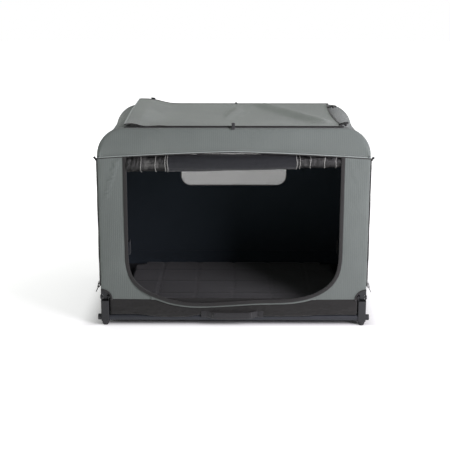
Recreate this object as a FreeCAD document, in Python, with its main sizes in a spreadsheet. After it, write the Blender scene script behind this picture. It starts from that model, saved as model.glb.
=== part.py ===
import FreeCAD, Part
import math
import os

import Sketcher

# Soft-sided folding dog crate. A rigid base frame of four round rails and four moulded corner posts
# carries hinged legs; each pair of legs ends in a knee, and above the knees stands a bent hoop.
# Two spreader bars hold the front and rear hoops apart. A sewn fabric cover hangs on the hoops.
# Frame: +X to the right, -Y to the front, +Z up, origin on the floor under the middle of the crate.

doc = FreeCAD.newDocument("dog_crate")

# ---------------------------------------------------------------- driving dimensions, millimetres
DIMENSIONS = {
    "crate_width": 920,
    "crate_depth": 625,
    "roof_height": 695,
    "fabric": 2,
    "sewing_gap": 1,
    "air": 0.3,
    "rail_dia": 23,
    "rail_wall": 1.5,
    "rail_clearance": 0.5,
    "tube_dia": 19,
    "tube_wall": 1.2,
    "hoop_bend": 80,
    "pivot_height": 100,
    "pivot_inset": 17,
    "pin_dia": 6,
    "pin_slack": 0.05,
    "pin_head_dia": 14,
    "pin_head_length": 3,
    "pin_tail_dia": 10,
    "pin_tail_length": 2,
    "post_width": 28,
    "post_round": 4,
    "post_shoulder": 89,
    "boss_length": 26,
    "boss_top": 44,
    "fork_slot": 20,
    "ear_radius": 9,
    "tongue_width": 14,
    "collar_base": 111,
    "collar_top": 130,
    "collar_depth": 23,
    "spigot_length": 26,
    "foot_height": 16,
    "foot_top_dia": 28,
    "foot_tip_dia": 19,
    "foot_spigot_dia": 14,
    "foot_spigot_length": 6,
    "edge_radius": 2,
    "bolt_head_dia": 21,
    "bolt_head_length": 12,
    "bolt_dia": 8,
    "plug_length": 26,
    "plug_inset": 2,
    "rail_gap": 2.3,
    "screw_dia": 4,
    "screw_head_dia": 8,
    "screw_head_length": 3,
    "knee_offset": 7,
    "knee_ear_radius": 7,
    "knee_reach": 24,
    "knee_slot": 11,
    "knee_relief": 1,
    "knee_step": 0.5,
    "knee_pin_dia": 5,
    "tub_top": 97,
    "post_gap": 3.5,
    "board_thickness": 4,
    "mat_thickness": 18,
    "mat_margin": 16,
    "panel_bottom": 70,
    "post_cloth_gap": 10.5,
    "post_notch_top": 133,
    "jamb_width": 86,
    "door_bottom": 77,
    "door_corner": 170,
    "binding_width": 12,
    "binding_thickness": 3,
    "rear_window_width": 420,
    "rear_window_height": 200,
    "rear_window_drop": 32.5,
    "side_window_margin": 100,
    "side_window_bottom": 165,
    "side_window_drop": 42.5,
    "window_corner": 42,
    "mesh": 1,
    "side_flap_margin": 23,
    "side_flap_top_margin": 8,
    "hatch_side_margin": 92,
    "hatch_end_margin": 15,
    "hatch_side_lap": 46,
    "hatch_end_lap": 28,
    "hatch_corner": 8,
    "spreader_inset": 115,
    "spreader_dia": 16,
    "spreader_drop": 6,
    "clip_width": 24,
    "clip_wall": 3.4,
    "clip_length": 36,
    "clip_slack": 0.1,
    "clip_floor": 2,
    "socket_floor": 1,
    "spreader_play": 1,
    "roll_radius": 31,
    "roll_drop": 35.5,
    "roll_inset": 22,
    "roll_end_gap": 1,
    "sleeve_half_length": 225,
    "sleeve_shift": 11,
    "rear_roll_radius": 9.7,
    "handle_half_length": 92,
    "handle_shift": 4,
    "handle_width": 25,
    "handle_top": 54,
    "handle_taper": 36,
    "handle_tab_length": 16,
    "toggle_dia": 7,
    "toggle_length": 20,
    "toggle_gap": 9,
    "toggle_lift": 2,
    "front_toggle_inset": 42,
    "side_toggle_drop": 12,
    "rear_toggle_offset": 170,
    "slider_inset": 52,
    "slider_size": 14,
    "slider_pull_length": 22,
}

sheet = doc.addObject("Spreadsheet::Sheet", "Dims")


class Size:
    """A length that knows both its value and the spreadsheet expression that gives it."""

    def __init__(self, value, text):
        self.value = float(value)
        self.text = text

    def _join(self, sign, other, value):
        return Size(value, f"({self.text} {sign} {as_size(other).text})")

    def __add__(self, other):
        return self._join("+", other, self.value + as_size(other).value)

    def __sub__(self, other):
        return self._join("-", other, self.value - as_size(other).value)

    def __mul__(self, other):
        return self._join("*", other, self.value * as_size(other).value)

    def __truediv__(self, other):
        return self._join("/", other, self.value / as_size(other).value)

    def __neg__(self):
        return Size(-self.value, f"(0 - {self.text})")

    def root(self):
        return Size(math.sqrt(self.value), f"sqrt({self.text})")

    __radd__ = __add__
    __rmul__ = __mul__


def as_size(number):
    return number if isinstance(number, Size) else Size(number, repr(float(number)))


D = {}
for row, (alias, number) in enumerate(DIMENSIONS.items(), start=1):
    sheet.set(f"A{row}", alias)
    sheet.set(f"B{row}", str(number))
    sheet.setAlias(f"B{row}", alias)
    D[alias] = Size(number, f"Dims.{alias}")
doc.recompute()

SIDES = {"left": -1, "right": 1}
ENDS = {"front": -1, "rear": 1}
CORNERS = [(e, s) for e in ENDS for s in SIDES]
PARTS = []
AXIS_TURN = {
    "X": FreeCAD.Rotation(FreeCAD.Vector(0, 1, 0), 90),
    "Y": FreeCAD.Rotation(FreeCAD.Vector(1, 0, 0), -90),
    "Z": FreeCAD.Rotation(),
}
AXIS_INDEX = {"X": 0, "Y": 1, "Z": 2}
THROUGH = 2  # a cutting tool is this many times as long as the material it passes through

# ---------------------------------------------------------------- sizes that follow from the driving ones
half_width = D["crate_width"] / 2
half_depth = D["crate_depth"] / 2
tube_radius = D["tube_dia"] / 2
rail_radius = D["rail_dia"] / 2
leg_x = half_width - D["fabric"] - D["sewing_gap"] - tube_radius
pivot_y = half_depth - D["pivot_inset"]
rail_y = half_depth - D["fabric"] - D["sewing_gap"] - rail_radius
rail_z = D["foot_height"] + D["rail_clearance"] + rail_radius
top_bar_z = D["roof_height"] - D["fabric"] - D["sewing_gap"] - tube_radius
bend_z = top_bar_z - D["hoop_bend"]
bend_x = leg_x - D["hoop_bend"]
knee_z = (D["pivot_height"] + top_bar_z) / 2
knee_y = pivot_y + D["knee_offset"]
skin_x = half_width - D["fabric"]
skin_y = half_depth - D["fabric"]
rail_top = rail_z + rail_radius
cross_rail_end = rail_y - rail_radius - D["rail_gap"]
post_outside = leg_x + D["post_width"] / 2
post_inside = leg_x - D["post_width"] / 2
post_back = rail_y - D["post_width"] / 2
boss_end = post_back - D["boss_length"]
screw_y = boss_end + D["boss_length"] / 2
rail_socket = skin_x + D["air"] - post_inside
outer_bend = half_width - bend_x
header_base = bend_z - D["sewing_gap"]
door_half = half_width - D["jamb_width"]
hatch_x = half_width - D["hatch_side_margin"]
hatch_y = half_depth - D["hatch_end_margin"]
hatch_z = D["roof_height"] + D["air"]
hatch_mesh_x = hatch_x - D["hatch_side_lap"]
hatch_mesh_y = hatch_y - D["hatch_end_lap"]
spreader_x = half_width - D["spreader_inset"]
rear_window_half = D["rear_window_width"] / 2
rear_window_top = bend_z - D["rear_window_drop"]
rear_window_bottom = rear_window_top - D["rear_window_height"]
side_window_half = half_depth - D["side_window_margin"]
side_window_top = bend_z - D["side_window_drop"]


# ---------------------------------------------------------------- building blocks
def bind(obj, prop, amount):
    """Ties one property of an object to its spreadsheet expression."""
    obj.setExpression(prop, as_size(amount).text)


def place(obj, at, turn=None):
    obj.Placement = FreeCAD.Placement(
        FreeCAD.Vector(*[as_size(a).value for a in at]), turn or FreeCAD.Rotation()
    )
    for letter, amount in zip("xyz", at):
        bind(obj, f"Placement.Base.{letter}", amount)
    return obj


def block(name, size, centre):
    """A box given by its three sizes and its centre."""
    box = doc.addObject("Part::Box", name)
    for prop, amount in zip(("Length", "Width", "Height"), size):
        bind(box, prop, amount)
    return place(box, [as_size(c) - as_size(s) / 2 for c, s in zip(centre, size)])


def rod(name, axis, radius, length, centre):
    """A cylinder along a named axis, given by its centre."""
    cylinder = doc.addObject("Part::Cylinder", name)
    bind(cylinder, "Radius", radius)
    bind(cylinder, "Height", length)
    start = [as_size(c) for c in centre]
    start[AXIS_INDEX[axis]] = start[AXIS_INDEX[axis]] - as_size(length) / 2
    return place(cylinder, start, AXIS_TURN[axis])


def loose_hole(diameter):
    """The radius of a hole that a screw or bolt passes through freely."""
    return (diameter + D["air"]) / 2


def snug_hole(radius):
    """The radius of a hole that turns on, or is pushed over, a round part."""
    return radius + D["pin_slack"]


def fuse(name, *pieces):
    joined = doc.addObject("Part::MultiFuse", name)
    joined.Shapes = list(pieces)
    joined.Refine = True
    return joined


def cut(name, base, *tools):
    tool = tools[0] if len(tools) == 1 else fuse(name + "_tools", *tools)
    result = doc.addObject("Part::Cut", name)
    result.Base = base
    result.Tool = tool
    result.Refine = True
    return result


def group(name, *pieces):
    """Separate solids that share one node."""
    bundle = doc.addObject("Part::Compound", name)
    bundle.Links = list(pieces)
    return bundle


def node(label, obj):
    """Marks an object as a finished sub-part and gives it the label that names its file."""
    obj.Label = label
    PARTS.append((label, obj))
    return obj


def origin_plane(body, role):
    return next(f for f in body.Origin.OriginFeatures if f.Role == role)


def point(vertex):
    return FreeCAD.Vector(as_size(vertex[0]).value, as_size(vertex[1]).value, 0)


def arc_through(start, end, heading):
    """The circle arc that leaves start along heading and reaches end, and whether it turns left."""
    chord = end - start
    left = FreeCAD.Vector(-heading.y, heading.x, 0)
    side = chord.dot(left)
    radius = chord.dot(chord) / (2 * side)
    centre = start + left * radius
    a0 = math.atan2(start.y - centre.y, start.x - centre.x)
    a1 = math.atan2(end.y - centre.y, end.x - centre.x)
    circle = Part.Circle(centre, FreeCAD.Vector(0, 0, 1), abs(radius))
    turns_left = radius > 0
    arc = Part.ArcOfCircle(circle, a0, a1) if turns_left else Part.ArcOfCircle(circle, a1, a0)
    out = (end - centre).cross(FreeCAD.Vector(0, 0, -1 if turns_left else 1))
    return arc, turns_left, out.normalize()


def draw(sketch, vertices, closed=True):
    """Draws an outline. Each vertex is (u, v) at the end of a line, or (u, v, "arc") at the end of an arc."""
    count = len(vertices)
    order = range(count) if closed else range(1, count)
    ends = {}
    heading = None
    first = sketch.GeometryCount
    if closed:
        heading = (point(vertices[-1]) - point(vertices[-2])).normalize()
    for number in order:
        start, end = point(vertices[number - 1]), point(vertices[number])
        if len(vertices[number]) == 3:
            arc, turns_left, heading = arc_through(start, end, heading)
            index = sketch.addGeometry(arc, False)
            ends[number] = (index, 1, 2) if turns_left else (index, 2, 1)
        else:
            index = sketch.addGeometry(Part.LineSegment(start, end), False)
            ends[number] = (index, 1, 2)
            heading = (end - start).normalize()
    for number in order:
        before = ends.get(number - 1 if number else count - 1)
        index, begin, _ = ends[number]
        if before:
            kind = "Tangent" if len(vertices[number]) == 3 else "Coincident"
            sketch.addConstraint(Sketcher.Constraint(kind, before[0], before[2], index, begin))
        for direction, amount in zip(("DistanceX", "DistanceY"), vertices[number - 1]):
            pin_down(sketch, direction, index, begin, amount)
    if not closed:
        index, _, finish = ends[count - 1]
        for direction, amount in zip(("DistanceX", "DistanceY"), vertices[-1]):
            pin_down(sketch, direction, index, finish, amount)
    return list(range(first, sketch.GeometryCount))


def pin_down(sketch, direction, index, end, amount):
    amount = as_size(amount)
    if amount.value == 0.0 and amount.text == repr(0.0):
        axis = -2 if direction == "DistanceX" else -1
        sketch.addConstraint(Sketcher.Constraint("PointOnObject", index, end, axis))
        return
    number = sketch.addConstraint(Sketcher.Constraint(direction, -1, 1, index, end, amount.value))
    sketch.setExpression(f"Constraints[{number}]", amount.text)


def ring(sketch, centre, radius):
    circle = Part.Circle(point(centre), FreeCAD.Vector(0, 0, 1), as_size(radius).value)
    index = sketch.addGeometry(circle, False)
    number = sketch.addConstraint(Sketcher.Constraint("Radius", index, as_size(radius).value))
    sketch.setExpression(f"Constraints[{number}]", as_size(radius).text)
    for direction, amount in zip(("DistanceX", "DistanceY"), centre):
        pin_down(sketch, direction, index, 3, amount)


def new_sketch(body, name, role):
    sketch = body.newObject("Sketcher::SketchObject", name)
    sketch.AttachmentSupport = (origin_plane(body, role), [""])
    sketch.MapMode = "FlatFace"
    return sketch


def plate(name, role, loops, thickness, at):
    """A PartDesign body: outlines on an origin plane, padded by the thickness to both sides."""
    body = doc.addObject("PartDesign::Body", name)
    sketch = new_sketch(body, name + "_outline", role)
    for loop in loops:
        draw(sketch, loop)
    pad = body.newObject("PartDesign::Pad", name + "_pad")
    pad.Profile = sketch
    pad.Midplane = True
    bind(pad, "Length", thickness)
    return place(body, at)


def turned(name, profile, at, turn=None):
    """A PartDesign body turned about its own Z axis from a half profile of (radius, height)."""
    body = doc.addObject("PartDesign::Body", name)
    sketch = new_sketch(body, name + "_profile", "XZ_Plane")
    draw(sketch, profile)
    spin = body.newObject("PartDesign::Revolution", name + "_turn")
    spin.Profile = sketch
    spin.ReferenceAxis = (sketch, ["V_Axis"])
    spin.Angle = 360
    return place(body, at, turn)


def rounded_rectangle(half_u, half_v, radius, centre=(0, 0)):
    u0, v0 = (as_size(c) for c in centre)
    left, right = u0 - half_u, u0 + half_u
    low, high = v0 - half_v, v0 + half_v
    return [
        (right - radius, low),
        (right, low + radius, "arc"),
        (right, high - radius),
        (right - radius, high, "arc"),
        (left + radius, high),
        (left, high - radius, "arc"),
        (left, low + radius),
        (left + radius, low, "arc"),
    ]


def notched_rectangle(half_u, half_v, notch_u, notch_v):
    """A rectangle about the origin with its four corners cut away."""
    inner_u, inner_v = half_u - notch_u, half_v - notch_v
    return [
        (-inner_u, -half_v),
        (inner_u, -half_v),
        (inner_u, -inner_v),
        (half_u, -inner_v),
        (half_u, inner_v),
        (inner_u, inner_v),
        (inner_u, half_v),
        (-inner_u, half_v),
        (-inner_u, inner_v),
        (-half_u, inner_v),
        (-half_u, -inner_v),
        (-inner_u, -inner_v),
    ]


# ---------------------------------------------------------------- base frame
def long_rail(end):
    """The front or rear rail: a tube along X that stops inside both posts."""
    at = (0, rail_y * ENDS[end], rail_z)
    length = skin_x * 2
    outer = rod(f"{end}_rail_outer", "X", rail_radius, length, at)
    inner = rod(f"{end}_rail_bore", "X", rail_radius - D["rail_wall"], length, at)
    node(f"{end}_rail", cut(f"{end}_rail_tube", outer, inner))


def cross_rail(side):
    """The left or right rail: a tube along Y, drilled for its two screws."""
    s = SIDES[side]
    at = (leg_x * s, 0, rail_z)
    length = cross_rail_end * 2
    outer = rod(f"{side}_rail_outer", "Y", rail_radius, length, at)
    inner = rod(f"{side}_rail_bore", "Y", rail_radius - D["rail_wall"], length, at)
    holes = [
        rod(
            f"{side}_rail_hole_{end}",
            "X",
            loose_hole(D["screw_dia"]),
            rail_radius,
            ((leg_x - rail_radius) * s, screw_y * ENDS[end], rail_z),
        )
        for end in ENDS
    ]
    node(f"{side}_rail", cut(f"{side}_rail_tube", outer, inner, *holes))


def corner_post(end, side):
    """A moulded post: column, boss for the cross rail, fork for the leg and a spigot for the foot."""
    e, s = ENDS[end], SIDES[side]
    tag = f"post_{end}_{side}"
    x, y = leg_x * s, rail_y * e
    width = D["post_width"]
    column = plate(
        f"{tag}_column",
        "XY_Plane",
        [rounded_rectangle(width / 2, width / 2, D["post_round"])],
        D["post_shoulder"] - D["foot_height"],
        (x, y, (D["post_shoulder"] + D["foot_height"]) / 2),
    )
    boss_centre = (boss_end + rail_y) / 2
    boss = block(
        f"{tag}_boss",
        (width, rail_y - boss_end, D["boss_top"] - D["foot_height"]),
        (x, boss_centre * e, (D["boss_top"] + D["foot_height"]) / 2),
    )
    ears = rod(f"{tag}_ears", "X", D["ear_radius"], width, (x, pivot_y * e, D["pivot_height"]))
    ear_rise = D["pivot_height"] - D["post_shoulder"]
    web = block(
        f"{tag}_web",
        (width, D["ear_radius"] * 2, ear_rise),
        (x, pivot_y * e, D["post_shoulder"] + ear_rise / 2),
    )
    spigot = rod(
        f"{tag}_spigot",
        "Z",
        D["foot_spigot_dia"] / 2,
        D["foot_spigot_length"] * 2,
        (x, y, D["foot_height"]),
    )
    slot_rise = D["ear_radius"] * 2 * THROUGH
    slot = block(
        f"{tag}_slot",
        (D["fork_slot"], width * THROUGH, slot_rise),
        (x, y, D["post_shoulder"] + slot_rise / 2),
    )
    rail_hole = rod(
        f"{tag}_rail_hole",
        "X",
        snug_hole(rail_radius),
        width,
        (x - (D["post_width"] - rail_socket) * s, y, rail_z),
    )
    cross_reach = D["boss_length"] * THROUGH
    cross_hole = rod(
        f"{tag}_cross_hole",
        "Y",
        snug_hole(rail_radius),
        cross_reach,
        (x, (cross_rail_end - cross_reach / 2) * e, rail_z),
    )
    bolt_hole = rod(
        f"{tag}_bolt_hole", "X", loose_hole(D["bolt_dia"]), width * THROUGH, (x, y, rail_z)
    )
    pin_hole = rod(
        f"{tag}_pin_hole",
        "X",
        snug_hole(D["pin_dia"] / 2),
        width * THROUGH,
        (x, pivot_y * e, D["pivot_height"]),
    )
    screw_hole = rod(
        f"{tag}_screw_hole",
        "X",
        loose_hole(D["screw_dia"]),
        width,
        (x - width / 2 * s, screw_y * e, rail_z),
    )
    body = fuse(f"{tag}_body", column, boss, ears, web, spigot)
    holes = (slot, rail_hole, cross_hole, bolt_hole, pin_hole, screw_hole)
    node(f"corner_post_{end}_{side}", cut(tag, body, *holes))


def foot(end, side):
    """A tapered rubber foot, turned, with a socket that fits over the post's spigot."""
    top, tip = D["foot_top_dia"] / 2, D["foot_tip_dia"] / 2
    bore = snug_hole(D["foot_spigot_dia"] / 2)
    depth = D["foot_spigot_length"] + D["air"]
    edge = D["edge_radius"]
    profile = [
        (0, 0),
        (tip - edge, 0),
        (tip, edge),
        (top, D["foot_height"] - edge),
        (top, D["foot_height"]),
        (bore, D["foot_height"]),
        (bore, D["foot_height"] - depth),
        (0, D["foot_height"] - depth),
    ]
    at = (leg_x * SIDES[side], rail_y * ENDS[end], 0)
    node(f"foot_{end}_{side}", turned(f"foot_{end}_{side}_body", profile, at))


def rail_bolt(end, side):
    """A knob-headed bolt through the post's outer wall, turned."""
    head, shank = D["bolt_head_dia"] / 2, D["bolt_dia"] / 2
    edge = D["edge_radius"]
    length = D["bolt_head_length"]
    profile = [
        (0, -D["plug_length"]),
        (shank, -D["plug_length"]),
        (shank, 0),
        (head, 0),
        (head, length - edge),
        (head - edge, length, "arc"),
        (0, length),
    ]
    turn = FreeCAD.Rotation(FreeCAD.Vector(0, 1, 0), 90 * SIDES[side])
    at = (post_outside * SIDES[side], rail_y * ENDS[end], rail_z)
    return turned(f"rail_bolt_{end}_{side}", profile, at, turn)


def rail_plug(end, side):
    """The plug inside the rail's end that the bolt holds."""
    length = D["plug_length"] - (post_outside - skin_x) - D["plug_inset"]
    at = ((skin_x - length / 2 - D["plug_inset"]) * SIDES[side], rail_y * ENDS[end], rail_z)
    tag = f"rail_plug_{end}_{side}"
    outer = rod(tag + "_outer", "X", rail_radius - D["rail_wall"] - D["pin_slack"], length, at)
    return cut(tag, outer, rod(tag + "_bore", "X", D["bolt_dia"] / 2, length, at))


def rail_screw(end, side):
    """A pan-head screw from inside, through the boss and the cross rail's wall."""
    s = SIDES[side]
    reach = D["post_width"] / 2 - rail_radius + D["rail_wall"] + D["screw_dia"] / 2
    y, z = screw_y * ENDS[end], rail_z
    tag = f"rail_screw_{end}_{side}"
    cap = D["screw_head_length"]
    head = rod(tag + "_head", "X", D["screw_head_dia"] / 2, cap, ((post_inside - cap / 2) * s, y, z))
    shank = rod(tag + "_shank", "X", D["screw_dia"] / 2, reach, ((post_inside + reach / 2) * s, y, z))
    return fuse(tag, head, shank)


def base_pin(end, side):
    """The rivet that the leg turns on: shank, wide outer head and small inner head."""
    s = SIDES[side]
    y, z = pivot_y * ENDS[end], D["pivot_height"]
    width = D["post_width"]
    tag = f"base_pin_{end}_{side}"
    head, tail = D["pin_head_length"], D["pin_tail_length"]
    shank = rod(tag + "_shank", "X", D["pin_dia"] / 2, width, (leg_x * s, y, z))
    outer = rod(tag + "_head", "X", D["pin_head_dia"] / 2, head, ((post_outside + head / 2) * s, y, z))
    inner = rod(tag + "_tail", "X", D["pin_tail_dia"] / 2, tail, ((post_inside - tail / 2) * s, y, z))
    return fuse(tag, shank, outer, inner)


for end in ENDS:
    long_rail(end)
for side in SIDES:
    cross_rail(side)
for end, side in CORNERS:
    corner_post(end, side)
    foot(end, side)
node("rail_bolts", group("all_rail_bolts", *[rail_bolt(*c) for c in CORNERS]))
node("rail_plugs", group("all_rail_plugs", *[rail_plug(*c) for c in CORNERS]))
node("rail_screws", group("all_rail_screws", *[rail_screw(*c) for c in CORNERS]))
node("base_pivot_pins", group("all_base_pins", *[base_pin(*c) for c in CORNERS]))


# ---------------------------------------------------------------- floor tub, board and mat
tub_x = skin_x - D["sewing_gap"]
tub_y = skin_y - D["sewing_gap"] / 2
tub_notch = (
    tub_x - post_inside + D["post_gap"],
    tub_y - boss_end + D["post_gap"],
)


def floor_tub():
    """The sewn tray that lies on the rails, cut away at the posts."""
    body = doc.addObject("PartDesign::Body", "tub_body")
    floor = new_sketch(body, "tub_floor_outline", "XY_Plane")
    draw(floor, notched_rectangle(tub_x, tub_y, *tub_notch))
    base = body.newObject("PartDesign::Pad", "tub_floor")
    base.Profile = floor
    bind(base, "Length", D["fabric"])
    doc.recompute()
    walls = new_sketch(body, "tub_wall_outline", "XY_Plane")
    draw(walls, notched_rectangle(tub_x, tub_y, *tub_notch))
    draw(walls, notched_rectangle(tub_x - D["fabric"], tub_y - D["fabric"], *tub_notch))
    rise = body.newObject("PartDesign::Pad", "tub_walls")
    rise.Profile = walls
    bind(rise, "Length", D["tub_top"] - rail_top)
    node("floor_tub", place(body, (0, 0, rail_top)))


def floor_layers():
    """The stiff board in the tub and the padded mat on it."""
    board_x = tub_x - D["fabric"] - D["air"]
    board_y = tub_y - D["fabric"] - D["air"]
    board_z = rail_top + D["fabric"] + D["board_thickness"] / 2
    outline = notched_rectangle(board_x, board_y, *tub_notch)
    node(
        "floor_board",
        plate("floor_board_body", "XY_Plane", [outline], D["board_thickness"], (0, 0, board_z)),
    )
    mat_z = rail_top + D["fabric"] + D["board_thickness"] + D["mat_thickness"] / 2
    mat_x = board_x - tub_notch[0] - D["mat_margin"]
    mat_y = board_y - D["mat_margin"]
    outline = rounded_rectangle(mat_x, mat_y, D["window_corner"])
    node("floor_mat", plate("floor_mat_body", "XY_Plane", [outline], D["mat_thickness"], (0, 0, mat_z)))


floor_tub()
floor_layers()


# ---------------------------------------------------------------- legs, knees and hoops
def leg_tube(end, side):
    """The lower leg: a straight tube from the base knuckle to the knee."""
    at_x, at_y = leg_x * SIDES[side], pivot_y * ENDS[end]
    low, high = D["collar_top"], knee_z - D["knee_reach"]
    centre = (at_x, at_y, (low + high) / 2)
    tag = f"{end}_leg_{side}"
    outer = rod(tag + "_outer", "Z", tube_radius, high - low, centre)
    inner = rod(tag + "_bore", "Z", tube_radius - D["tube_wall"], high - low, centre)
    node(tag, cut(tag + "_tube", outer, inner))


def base_knuckle(end, side):
    """The moulded foot of a leg: tongue in the fork, wide collar above it, spigot in the tube."""
    x, y = leg_x * SIDES[side], pivot_y * ENDS[end]
    tag = f"{end}_knuckle_{side}"
    rise = D["collar_base"] - D["pivot_height"]
    radius = D["ear_radius"]
    tongue = D["tongue_width"]
    eye = rod(tag + "_eye", "X", radius, tongue, (x, y, D["pivot_height"]))
    neck = block(tag + "_neck", (tongue, radius * 2, rise), (x, y, D["pivot_height"] + rise / 2))
    collar = plate(
        tag + "_collar",
        "XY_Plane",
        [rounded_rectangle(D["post_width"] / 2, D["collar_depth"] / 2, D["post_round"])],
        D["collar_top"] - D["collar_base"],
        (x, y, (D["collar_top"] + D["collar_base"]) / 2),
    )
    spigot = rod(
        tag + "_spigot",
        "Z",
        tube_radius - D["tube_wall"] - D["pin_slack"],
        D["spigot_length"],
        (x, y, D["collar_top"] + D["spigot_length"] / 2),
    )
    hole = rod(
        tag + "_hole",
        "X",
        snug_hole(D["pin_dia"] / 2),
        tongue * THROUGH,
        (x, y, D["pivot_height"]),
    )
    return cut(tag, fuse(tag + "_body", eye, neck, collar, spigot), hole)


def knee_half(end, side, up):
    """One half of a knee. up is -1 for the clevis on the leg and 1 for the tongue under the hoop."""
    e, x = ENDS[end], leg_x * SIDES[side]
    tag = f"{end}_knee_{'tongue' if up > 0 else 'clevis'}_{side}"
    reach, radius = D["knee_reach"], D["knee_ear_radius"]
    near = radius + D["knee_relief"]
    back, front = pivot_y - tube_radius, pivot_y + near
    split = pivot_y - D["knee_step"]
    width = D["tube_dia"] if up < 0 else D["knee_slot"] - D["air"] * 2

    def slab(name, wide, y0, y1, z0, z1):
        centre = (x, (y0 + y1) / 2 * e, knee_z + (as_size(z0) + z1) / 2 * up)
        return block(tag + name, (wide, y1 - y0, as_size(z1) - z0), centre)

    shank = slab("_shank", D["tube_dia"], back, front, near, reach)
    heel = slab("_heel", D["tube_dia"], back, split, D["air"], near)
    web = slab("_web", width, split, front, 0, near)
    trim, play = (D["air"], D["pin_slack"]) if up > 0 else (0, 0)
    eye = rod(tag + "_eye", "X", radius - trim, width, (x, knee_y * e, knee_z))
    spigot = rod(
        tag + "_spigot",
        "Z",
        tube_radius - D["tube_wall"] - D["pin_slack"],
        D["spigot_length"],
        (x, pivot_y * e, knee_z + (reach + D["spigot_length"] / 2) * up),
    )
    hole_radius = D["knee_pin_dia"] / 2 + play
    tools = [rod(tag + "_hole", "X", hole_radius, D["tube_dia"] * THROUGH, (x, knee_y * e, knee_z))]
    if up < 0:
        deep = knee_y + radius * THROUGH
        slot_size = (D["knee_slot"], deep - split, near * 2)
        tools.append(block(tag + "_slot", slot_size, (x, (split + deep) / 2 * e, knee_z)))
    return cut(tag, fuse(tag + "_body", shank, heel, web, eye, spigot), *tools)


def knee_pin(end, side):
    centre = (leg_x * SIDES[side], knee_y * ENDS[end], knee_z)
    return rod(f"{end}_knee_pin_{side}", "X", D["knee_pin_dia"] / 2, D["tube_dia"], centre)


def hoop(end):
    """The bent upper tube, swept along its path from knee to knee."""
    body = doc.addObject("PartDesign::Body", f"{end}_hoop_body")
    path = new_sketch(body, f"{end}_hoop_path", "XZ_Plane")
    foot_z = knee_z + D["knee_reach"]
    route = [
        (-leg_x, foot_z),
        (-leg_x, bend_z),
        (-bend_x, top_bar_z, "arc"),
        (bend_x, top_bar_z),
        (leg_x, bend_z, "arc"),
        (leg_x, foot_z),
    ]
    draw(path, route, closed=False)
    section = new_sketch(body, f"{end}_hoop_section", "XY_Plane")
    section.AttachmentOffset = FreeCAD.Placement(
        FreeCAD.Vector(0, 0, foot_z.value), FreeCAD.Rotation()
    )
    bind(section, "AttachmentOffset.Base.z", foot_z)
    ring(section, (-leg_x, 0), tube_radius)
    ring(section, (-leg_x, 0), tube_radius - D["tube_wall"])
    doc.recompute()
    pipe = body.newObject("PartDesign::AdditivePipe", f"{end}_hoop_pipe")
    pipe.Profile = section
    pipe.Spine = (path, [f"Edge{n + 1}" for n in range(len(route) - 1)])
    node(f"{end}_hoop", place(body, (0, pivot_y * ENDS[end], 0)))


for end in ENDS:
    for side in SIDES:
        leg_tube(end, side)
    node(f"{end}_leg_knuckles", group(f"{end}_knuckles", *[base_knuckle(end, s) for s in SIDES]))
    node(f"{end}_knee_clevises", group(f"{end}_clevises", *[knee_half(end, s, -1) for s in SIDES]))
    node(f"{end}_knee_tongues", group(f"{end}_tongues", *[knee_half(end, s, 1) for s in SIDES]))
    node(f"{end}_knee_pins", group(f"{end}_pins", *[knee_pin(end, s) for s in SIDES]))
    hoop(end)


# ---------------------------------------------------------------- spreader bars and their clips
socket_end = pivot_y - tube_radius - D["clip_wall"] - D["socket_floor"]


def spreader(side):
    at = (spreader_x * SIDES[side], 0, top_bar_z - D["spreader_drop"])
    length = (socket_end - D["spreader_play"]) * 2
    outer = rod(f"{side}_spreader_outer", "Y", D["spreader_dia"] / 2, length, at)
    inner = rod(f"{side}_spreader_bore", "Y", D["spreader_dia"] / 2 - D["tube_wall"], length, at)
    node(f"{side}_spreader", cut(f"{side}_spreader_tube", outer, inner))


def spreader_clip(end, side):
    """A clip that snaps under the hoop's top bar and takes the end of a spreader."""
    e, x = ENDS[end], spreader_x * SIDES[side]
    tag = f"clip_{end}_{side}"
    ring_radius = tube_radius + D["clip_wall"]
    width = D["clip_width"]
    low = top_bar_z - D["spreader_drop"] - D["spreader_dia"] / 2 - D["clip_floor"]
    high = top_bar_z + tube_radius / 2
    band = rod(tag + "_band", "X", ring_radius, width, (x, pivot_y * e, top_bar_z))
    body = block(
        tag + "_block",
        (width, D["clip_length"], high - low),
        (x, (pivot_y - D["clip_length"] / 2) * e, (low + high) / 2),
    )
    bore_radius = tube_radius + D["clip_slack"]
    bore = rod(tag + "_bore", "X", bore_radius, width * THROUGH, (x, pivot_y * e, top_bar_z))
    mouth = block(
        tag + "_mouth",
        (width * THROUGH, ring_radius * 2 * THROUGH, ring_radius),
        (x, pivot_y * e, high + ring_radius / 2),
    )
    socket = rod(
        tag + "_socket",
        "Y",
        snug_hole(D["spreader_dia"] / 2),
        D["clip_length"],
        (x, (socket_end - D["clip_length"] / 2) * e, top_bar_z - D["spreader_drop"]),
    )
    return cut(tag, fuse(tag + "_body", band, body), bore, mouth, socket)


for side in SIDES:
    spreader(side)
node("spreader_clips", group("all_spreader_clips", *[spreader_clip(*c) for c in CORNERS]))


# ---------------------------------------------------------------- fabric cover: walls
notch_x = post_inside - D["post_cloth_gap"]
notch_y = post_back - D["post_cloth_gap"]
mid_fabric_x = half_width - D["fabric"] / 2
mid_fabric_y = half_depth - D["fabric"] / 2


def wall_outline(half, notch, top):
    """A wall with its lower corners cut away round the posts, open along the bottom."""
    low, step = D["panel_bottom"], D["post_notch_top"]
    return [
        (-notch, low),
        (notch, low),
        (notch, step),
        (half, step),
        (half, top),
        (-half, top),
        (-half, step),
        (-notch, step),
    ]


def window(half, low, high):
    return rounded_rectangle(half, (high - low) / 2, D["window_corner"], (0, (high + low) / 2))


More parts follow.
